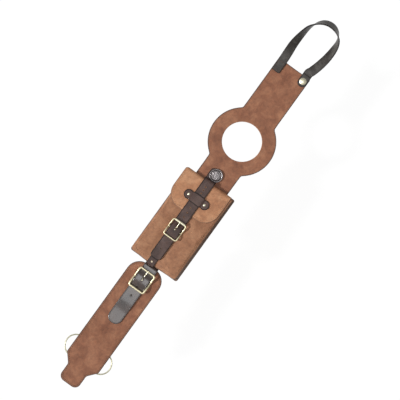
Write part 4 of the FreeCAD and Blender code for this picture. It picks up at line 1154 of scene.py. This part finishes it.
small_low = GAP + CHAPE_THICK / 2
chape_foot = -FRONT_LENGTH - 1.0 - CHAPE_THICK / 2
small_start = [(chape_foot, -13.0, 0), (chape_foot, small_low, 2.4)]
small_chape = chape("small_chape_leather", small_start, (BAR_ALONG, BAR_UP), 18.0, CLOSURE_X, DARK, off_front)
fit(small_chape, "tank_body", "dark_leather", "small_buckle_chape")

BUCKLE = JOINT["large_buckle_rock"]
large_start = [(LARGE_CHAPE[0].y, PANEL_TOP_Z + small_low, 0)]
large_chape = chape("large_chape_leather", large_start, (BUCKLE.y, BUCKLE.z), LARGE_CHAPE[1].x * 2, 0.0, DARK,
                    lambda y, z: (y, z))
fit(large_chape, "lower_body", "dark_leather", "large_buckle_chape")

# ---- link strap ----
LINK_THICK = 2.7
LINK_HALF = LINK[1].x
link_low = PANEL_TOP_Z + 2 * GAP + CHAPE_THICK + LINK_THICK / 2
link_over = BUCKLE.z + FOLD_R + CHAPE_THICK + 2 * GAP + LINK_THICK / 2
anchor_middle = middle_of(LINK_END).z
tail_z = PANEL_TOP_Z + GAP + LINK_THICK / 2
corners = [(LINK_END[1].y, anchor_middle, 0), (BACK[0].y - 0.2, anchor_middle, 3.2),
           (LOWER[1].y - 2.0, link_low, 4)]
corners += [(BUCKLE.y + a, up, r) for a, up, r in arch(0.0, link_low, link_over, 12, 0.5)]
corners += [(LARGE_CHAPE[0].y - 2, link_low, 60), (LARGE_CHAPE[0].y - 22, tail_z, 60), (LINK[0].y, tail_z, 0)]
link_track = Track(corners)
link_outline = strip(-LINK_HALF, LINK_HALF, 0, link_track.length, 3, LINK_HALF - 0.8)


def link_s(along, up):
    """Length along the link strap at a distance from the large buckle's bar."""
    return link_track.find(BUCKLE.y + along, up)


link_holes = [circle(0, link_s(-38, link_low), 1.3), circle(0, link_s(-16, link_low + 1.5), 1.3)]
link_holes.append(slot_hole(0, link_s(15.5, link_low + 1.5), link_s(-1.2, link_over), 1.4))
link = sheet("link_strap_leather", link_outline, along_y(link_track), LINK_THICK, POLISHED, holes=link_holes,
             grid=3.0, crease=2.2, reach=3.0, wave=0.06, wave_size=26.0, seed=6.6)
fit_bend(link, ("tank_body", "lower_body"), (-318.5, 3.0), (-325.5, 7.0), "dark_leather", "link_strap",
         "link_strap_anchor")

# ---- ring keeper ----
KEEPER_LEATHER = 1.8
flat_z = LOWER_RISE - GAP - KEEPER_LEATHER / 2
bow_z = RING_KEEPER[0].z + KEEPER_LEATHER / 2
bow = [(12.6, flat_z, 1.5), (10.4, bow_z, 1.5), (5.6, bow_z, 1.5), (3.6, flat_z, 1.5)]
ring_half = [(RING_KEEPER[1].x, flat_z, 0)] + bow
ring_track = Track(ring_half + [(-x, z, r) for x, z, r in reversed(bow)] + [(RING_KEEPER[0].x, flat_z, 0)])
ring_outline = strip(RING_KEEPER[0].y, RING_KEEPER[1].y, 0, ring_track.length, 3, 3)
ring_keeper = sheet("ring_keeper_leather", ring_outline, across(ring_track, lambda u, z: (u, z)),
                    KEEPER_LEATHER, DARK, grid=2.4, step=1.3, reach=1.6, wave=0.04)
fit(ring_keeper, "lower_body", "dark_leather", "ring_keeper")

# ---- neck loop ----
LOOP_HALF = (SEWN_TAB[1].x - SEWN_TAB[0].x) / 2
LOOP_THICK = SEWN_TAB[1].z - SEWN_TAB[0].z
LOOP_LEFT, _, LOOP_LOW_Z = middle_of(SEWN_TAB)
LOOP_RIGHT = middle_of(SNAP_TAB).x
LOOP_Y = LOOP[0].y
LOOP_STAND_Z = 11.0
KNUCKLE_R = LOOP_THICK / 2
EDGE_R = 1.1
# Distance past the hinge line and share of the thickness; the last is a tongue inside the snap tab's knuckle.
FOOT_BEVEL = [(2.4, 0.70), (2.1, 0.37), (1.85, 0.08), (1.2, 0.05)]
LOOP_STATIONS = [
    (LOOP_LEFT, 0.0, 0), (-31.3, 14.0, 9), (-32.2, 37.0, 30), (-29.8, 62.0, 54), (-26.0, 81.0, 74),
    (-17.5, 97.0, 104), (-7.0, 107.5, 124), (5.5, 112.3, 132), (19.0, 111.3, 128),
    (31.0, 104.5, 108), (39.5, 93.0, 78), (42.8, 76.0, 50), (42.2, 54.0, 32),
    (38.6, 32.0, 17), (33.0, 12.0, 5), (LOOP_RIGHT + 0.1, 4.5, 0), (LOOP_RIGHT, 0.0, 0),
]


def smooth_line(rows, count):
    """Catmull-Rom points through rows of numbers."""
    rows = np.array(rows, float)
    rows = np.concatenate([[2 * rows[0] - rows[1]], rows, [2 * rows[-1] - rows[-2]]])
    out = []
    for a, b, c, d in zip(rows, rows[1:], rows[2:], rows[3:]):
        bend, twist = 2 * a - 5 * b + 4 * c - d, 3 * b - a - 3 * c + d
        for t in np.linspace(0, 1, count, endpoint=False):
            out.append(0.5 * (2 * b + (c - a) * t + bend * t**2 + twist * t**3))
    out.append(rows[-2])
    return np.array(out)


def strap_section():
    """The rounded strap section, walked once round: (across, up)."""
    half_t = LOOP_THICK / 2
    flat_half = LOOP_HALF - 2.4
    side, rise = LOOP_HALF - EDGE_R, half_t - EDGE_R
    section = []
    for side_x, side_y, first in ((1, 1, 0), (-1, 1, 90), (-1, -1, 180), (1, -1, 270)):
        for k in range(5):
            a = math.radians(first + 90 * k / 4)
            section.append((side_x * side + EDGE_R * math.cos(a), side_y * rise + EDGE_R * math.sin(a)))
        if side_y * side_x > 0:
            section += [(x, side_y * half_t) for x in np.linspace(side_x * flat_half, -side_x * flat_half, 9)]
    return section


def rounded_off(distance, radius, half):
    """Share of a half width left at a distance from an end whose corners are rounded."""
    short = max(0.0, radius - distance)
    return (half - radius + math.sqrt(radius**2 - short**2)) / half


def tip_places(radius):
    """Distances from a strap's end that follow its rounded corners."""
    lip = {EDGE_R * (1 - math.cos(a)) for a in np.linspace(0, 1.5, 5)}
    corner = {radius * (1 - math.cos(a)) for a in np.linspace(0.2, 1.5, 12)}
    return sorted(lip | corner)


def swept_strap(name, rows, shares, corner_r):
    """Strap through (x, y, roll) rows; shares scale its thickness, and its first end's corners are round."""
    rows = np.array(rows)
    ring = strap_section()
    way = np.gradient(rows[:, :2], axis=0)
    way /= np.linalg.norm(way, axis=1)[:, None]
    lengths = np.concatenate([[0], np.cumsum(np.linalg.norm(np.diff(rows[:, :2], axis=0), axis=1))])
    points, flat, edge = [], [], []
    for (x, y, roll), (tx, ty), s, share in zip(rows, way, lengths, shares):
        turn = math.radians(roll)
        out = Vector((-ty, tx, 0))
        up = Vector((0, 0, 1))
        wide = out * math.cos(turn) + up * math.sin(turn)
        thick = out * -math.sin(turn) + up * math.cos(turn)
        lift = LOOP_LOW_Z + (LOOP_STAND_Z - LOOP_LOW_Z) * math.sin(turn)
        shrink = rounded_off(s, corner_r, LOOP_HALF)
        thin = share * rounded_off(s, EDGE_R, LOOP_THICK / 2)
        sway = 0.5 * noise.noise(Vector((s / 30, 0.3, 0.9))) * math.sin(turn)
        for a, b in ring:
            points.append(Vector((x, LOOP_Y + y, lift + sway)) + wide * (a * shrink) + thick * (b * thin))
            flat.append((a, s, b))
            edge.append(min(s, (LOOP_HALF - abs(a)) * shrink))
    n, total = len(ring), len(points)
    faces = [*quads(0, n, len(rows)), tuple(range(n)), tuple(reversed(range(total - n, total)))]
    attributes = {"flat": np.array(flat), "edge": edge, "core": np.zeros(len(edge))}
    return new_object(name, np.array(points), faces, LOOP_DARK, attributes)


SEWN_CORNER_R = 3.0
hinge = JOINT["loop_swing"].y - LOOP_Y
tab_foot = SEWN_TAB[0].y - LOOP_Y
tips = tip_places(SEWN_CORNER_R)
loop_rows = [(LOOP_LEFT, tab_foot + d, 0) for d in tips]
loop_rows += [(LOOP_LEFT, y, 0) for y in np.linspace(tab_foot + 4.0, -4.0, 10)]
loop_rows += [tuple(row) for row in smooth_line(LOOP_STATIONS, 9)]
shares = [1.0] * len(loop_rows) + [share for _, share in FOOT_BEVEL]
loop_rows += [(LOOP_RIGHT, hinge + reach, 0) for reach, _ in FOOT_BEVEL]
loop = swept_strap("neck_loop_leather", loop_rows, shares, SEWN_CORNER_R)
fit_bend(loop, ("tank_body", "neck_loop"), (188.0, 5.55), (194.0, 5.55), "dark_leather", "loop_strap",
         "loop_anchor_tab")
seam_left, seam_right = SEWN_TAB[0].x + 3, SEWN_TAB[1].x - 3
seam_low, seam_high = SEWN_TAB[0].y + 3.5, SEWN_TAB[1].y - 3.5
tab_line = [(seam_left, seam_low), (seam_right, seam_low), (seam_right, seam_high), (seam_left, seam_high),
            (seam_left, seam_low)]
tab_seam = stitches("sewn_tab_stitches", tab_line, level(LOOP_LOW_Z), BROWN_THREAD, LOOP_THICK / 2, 3.8, 2.9)
fit(tab_seam, "tank_body", "thread", "loop_stitching")

SNAP_CORNER_R = 9.2
snap_foot = SNAP_TAB[0].y - LOOP_Y
knuckle_y = JOINT["snap_release"].y - LOOP_Y
tips = tip_places(SNAP_CORNER_R)
snap_rows = [(LOOP_RIGHT, snap_foot + d, 0) for d in tips]
snap_rows += [(LOOP_RIGHT, y, 0) for y in np.linspace(snap_foot + SNAP_CORNER_R + 0.5, knuckle_y, 8)]
shares = [1.0] * len(snap_rows)
for degrees in (20, 40, 58, 72, 84):
    snap_rows.append((LOOP_RIGHT, knuckle_y + KNUCKLE_R * math.sin(math.radians(degrees)), 0))
    shares.append(math.cos(math.radians(degrees)))
snap_tab = swept_strap("snap_tab_leather", snap_rows, shares, SNAP_CORNER_R)
fit(snap_tab, "snap_end", "dark_leather", "snap_tab")


# ---- concho ----
RIM_FROM, GROOVE_FROM = 0.80, 0.76
CONCHO_RINGS, CONCHO_SPOKES = 46, 176


def concho_height(r, angle, radius):
    """Rope rim, a beaded ring, and eight petals round a button."""
    rim_in = radius * RIM_FROM
    if r > rim_in:
        t = (r - rim_in) / (radius - rim_in)
        rope = math.sin(angle * 22 + t * 2.4)
        roll = 0.75 * math.sin(math.pi * min(t, 1.0)) * (0.75 + 0.25 * rope)
        return 1.5 + roll - 1.2 * max(0, t - 0.85) / 0.15
    dome = 4.3 * (1 - (r / rim_in) ** 2) ** 0.6 + 0.9
    bead_at = radius * 0.66
    bead = 0.55 * math.exp(-(((r - bead_at) / 0.75) ** 2)) * max(0.0, math.cos(angle * 28)) ** 0.5
    petal_edge = radius * (0.30 + 0.24 * abs(math.cos(angle * 4)))
    petal = 0.55 / (1 + math.exp((r - petal_edge) / 0.25))
    vein = -0.35 * math.exp(-((math.sin(angle * 4) / 0.16) ** 2)) * (r > radius * 0.14) * (r < petal_edge)
    button = 0.6 * math.exp(-((r / (radius * 0.13)) ** 4))
    return min(dome, 3.5) + bead + petal + vein + button


def concho_polish(height, usual, share):
    """How bright a place is: high places and the rope rim are worn, the groove inside the rim is dark."""
    worn_rim = 0.25 if share > 0.86 else 0
    groove = 0.45 if GROOVE_FROM < share < 0.82 else 0
    return 0.5 + (height - usual) * 1.1 + worn_rim - groove


def make_concho():
    """Round button whose relief is a height over (ring, spoke) places."""
    radius = (CONCHO[1].x - CONCHO[0].x) / 2
    cx, cy, _ = middle_of(CONCHO)
    base = CONCHO[0].z
    top = CONCHO[1].z - base
    angles = [2 * math.pi * k / CONCHO_SPOKES for k in range(CONCHO_SPOKES)]
    reaches = [radius * j / CONCHO_RINGS for j in range(CONCHO_RINGS + 1)]
    heights = [[concho_height(r, angle, radius) for angle in angles] for r in reaches]
    ceiling = max(max(h) for h in heights)
    points, relief, faces = [(cx, cy, base + top)], [1.0], []
    for j in range(1, CONCHO_RINGS + 1):
        usual = sum(heights[j]) / CONCHO_SPOKES
        for angle, height in zip(angles, heights[j]):
            r = reaches[j] * (1 + (0.012 * math.cos(angle * 22) if j == CONCHO_RINGS else 0))
            lift = max(height * top / ceiling, 0.5)
            points.append((cx + r * math.cos(angle), cy + r * math.sin(angle), base + lift))
            relief.append(concho_polish(height, usual, j / CONCHO_RINGS))
    last = 1 + CONCHO_RINGS * CONCHO_SPOKES
    points += [(x, y, base) for x, y, _ in points[last - CONCHO_SPOKES:]] + [(cx, cy, base)]
    relief += [0.2] * (CONCHO_SPOKES + 1)
    for k in range(CONCHO_SPOKES):
        nxt = (k + 1) % CONCHO_SPOKES
        faces.append((0, 1 + k, 1 + nxt))
        for start in range(1, last, CONCHO_SPOKES):
            a, b = start + k, start + nxt
            faces.append((a, a + CONCHO_SPOKES, b + CONCHO_SPOKES, b))
        faces.append((len(points) - 1, last + nxt, last + k))
    return new_object("concho_relief", points, faces, SILVER, {"relief": relief})


fit(make_concho(), "tank_body", "antique_silver", "concho")


# ---- hardware kept from the CAD ----
HARDWARE = {
    BRASS: ("snap_socket", "snap_stud", "snap_post", "keeper_burrs", "small_buckle_frame",
            "large_buckle_frame"),
    PALE_BRASS: ("snap_cap", "keeper_rivets", "small_buckle_roller", "small_buckle_prong",
                 "large_buckle_prong"),
    OLD_BRASS: ("small_chape_rivets",),
    RING_BRASS: ("ring_left", "ring_right"),
    STEEL: ("concho_screw",),
    COPPER: ("pouch_rivets", "link_rivets", "large_chape_rivets", "ring_keeper_rivets", "ring_keeper_burrs"),
}
for look, nodes in HARDWARE.items():
    for node in nodes:
        obj = frame["nodes"][node]
        obj.data.materials.clear()
        obj.data.materials.append(look)
        obj.data.shade_smooth()
        if look is not RING_BRASS:
            corner_split = obj.modifiers.new("sharp corners", "EDGE_SPLIT")
            corner_split.split_angle = math.radians(50)


# ---- stage, in metres ----
CAMERA_HEIGHT = 2.4
FIELD = 0.840
SENSOR = 36.0
STRAP_LEAN = math.radians(54.15)  # how far the strap lies over in the photo
FLOOR_HALF = 30.0
FLOOR_DEPTH = -0.18
KEY_WAY = (0.74, 0.66, -0.85)


def staged(name, data):
    """Object for the studio, not a part of the strap."""
    obj = bpy.data.objects.new(name, data)
    bpy.context.scene.collection.objects.link(obj)
    return obj


def build_world(scene):
    """Pale sky that lights the strap, and plain white behind it."""
    scene.world = bpy.data.worlds.new("studio")
    scene.world.use_nodes = True
    tree = scene.world.node_tree
    place = add(tree, "ShaderNodeTexCoord").outputs["Generated"]
    split = add(tree, "ShaderNodeSeparateXYZ")
    tree.links.new(place, split.inputs[0])
    shades = [(0.0, grey(0.45)), (0.5, grey(0.62)), (0.85, grey(0.75)), (1.0, grey(1.0))]
    background = tree.nodes["Background"]
    tree.links.new(ramp(tree, split.outputs["Z"], shades), background.inputs["Color"])
    background.inputs["Strength"].default_value = 0.46
    plain = add(tree, "ShaderNodeBackground", Color=(1, 1, 1, 1), Strength=1.0)
    seen = add(tree, "ShaderNodeLightPath")
    choose = add(tree, "ShaderNodeMixShader")
    tree.links.new(seen.outputs["Is Camera Ray"], choose.inputs[0])
    tree.links.new(background.outputs[0], choose.inputs[1])
    tree.links.new(plain.outputs[0], choose.inputs[2])
    tree.links.new(choose.outputs[0], tree.nodes["World Output"].inputs["Surface"])


def build_floor():
    """Pale floor far enough down for the folded poses."""
    mesh = bpy.data.meshes.new("floor")
    corners = [(x * FLOOR_HALF, y * FLOOR_HALF, FLOOR_DEPTH) for x, y in ((-1, -1), (1, -1), (1, 1), (-1, 1))]
    mesh.from_pydata(corners, [], [(0, 1, 2, 3)])
    material, _, shader = node_tree("pale_floor")
    preset(shader, Base_Color=(*grey(0.10), 1), Roughness=1.0, Specular_IOR_Level=0.0,
           Emission_Color=(*grey(1), 1), Emission_Strength=0.93)
    mesh.materials.append(material)
    staged("floor", mesh)


def build_lights():
    """A broad sun from the lower left of the strap, and a soft box over it."""
    key = bpy.data.lights.new("key", "SUN")
    key.energy = 2.55
    key.angle = math.radians(8)
    staged("key", key).rotation_euler = Vector(KEY_WAY).to_track_quat("-Z", "Y").to_euler()
    soft = bpy.data.lights.new("overhead", "AREA")
    soft.shape = "RECTANGLE"
    soft.size = 1.1
    soft.size_y = 1.45
    soft.energy = 13.0
    soft.color = (0.96, 0.98, 1.0)
    staged("overhead", soft).location = (0, -0.20, 2.7)


def build_camera(scene):
    """Looks straight down, turned so that the strap lies as in the photo."""
    camera = bpy.data.cameras.new("camera")
    camera.sensor_width = SENSOR
    camera.lens = SENSOR * CAMERA_HEIGHT / FIELD
    view = bpy.data.objects.new("camera", camera)
    scene.collection.objects.link(view)
    view.location = (0.0002, -0.1506, CAMERA_HEIGHT)
    view.rotation_euler = (0, 0, math.radians(90) - STRAP_LEAN)
    scene.camera = view
    scene.view_settings.view_transform = "Standard"


build_world(bpy.context.scene)
build_floor()
build_lights()
build_camera(bpy.context.scene)
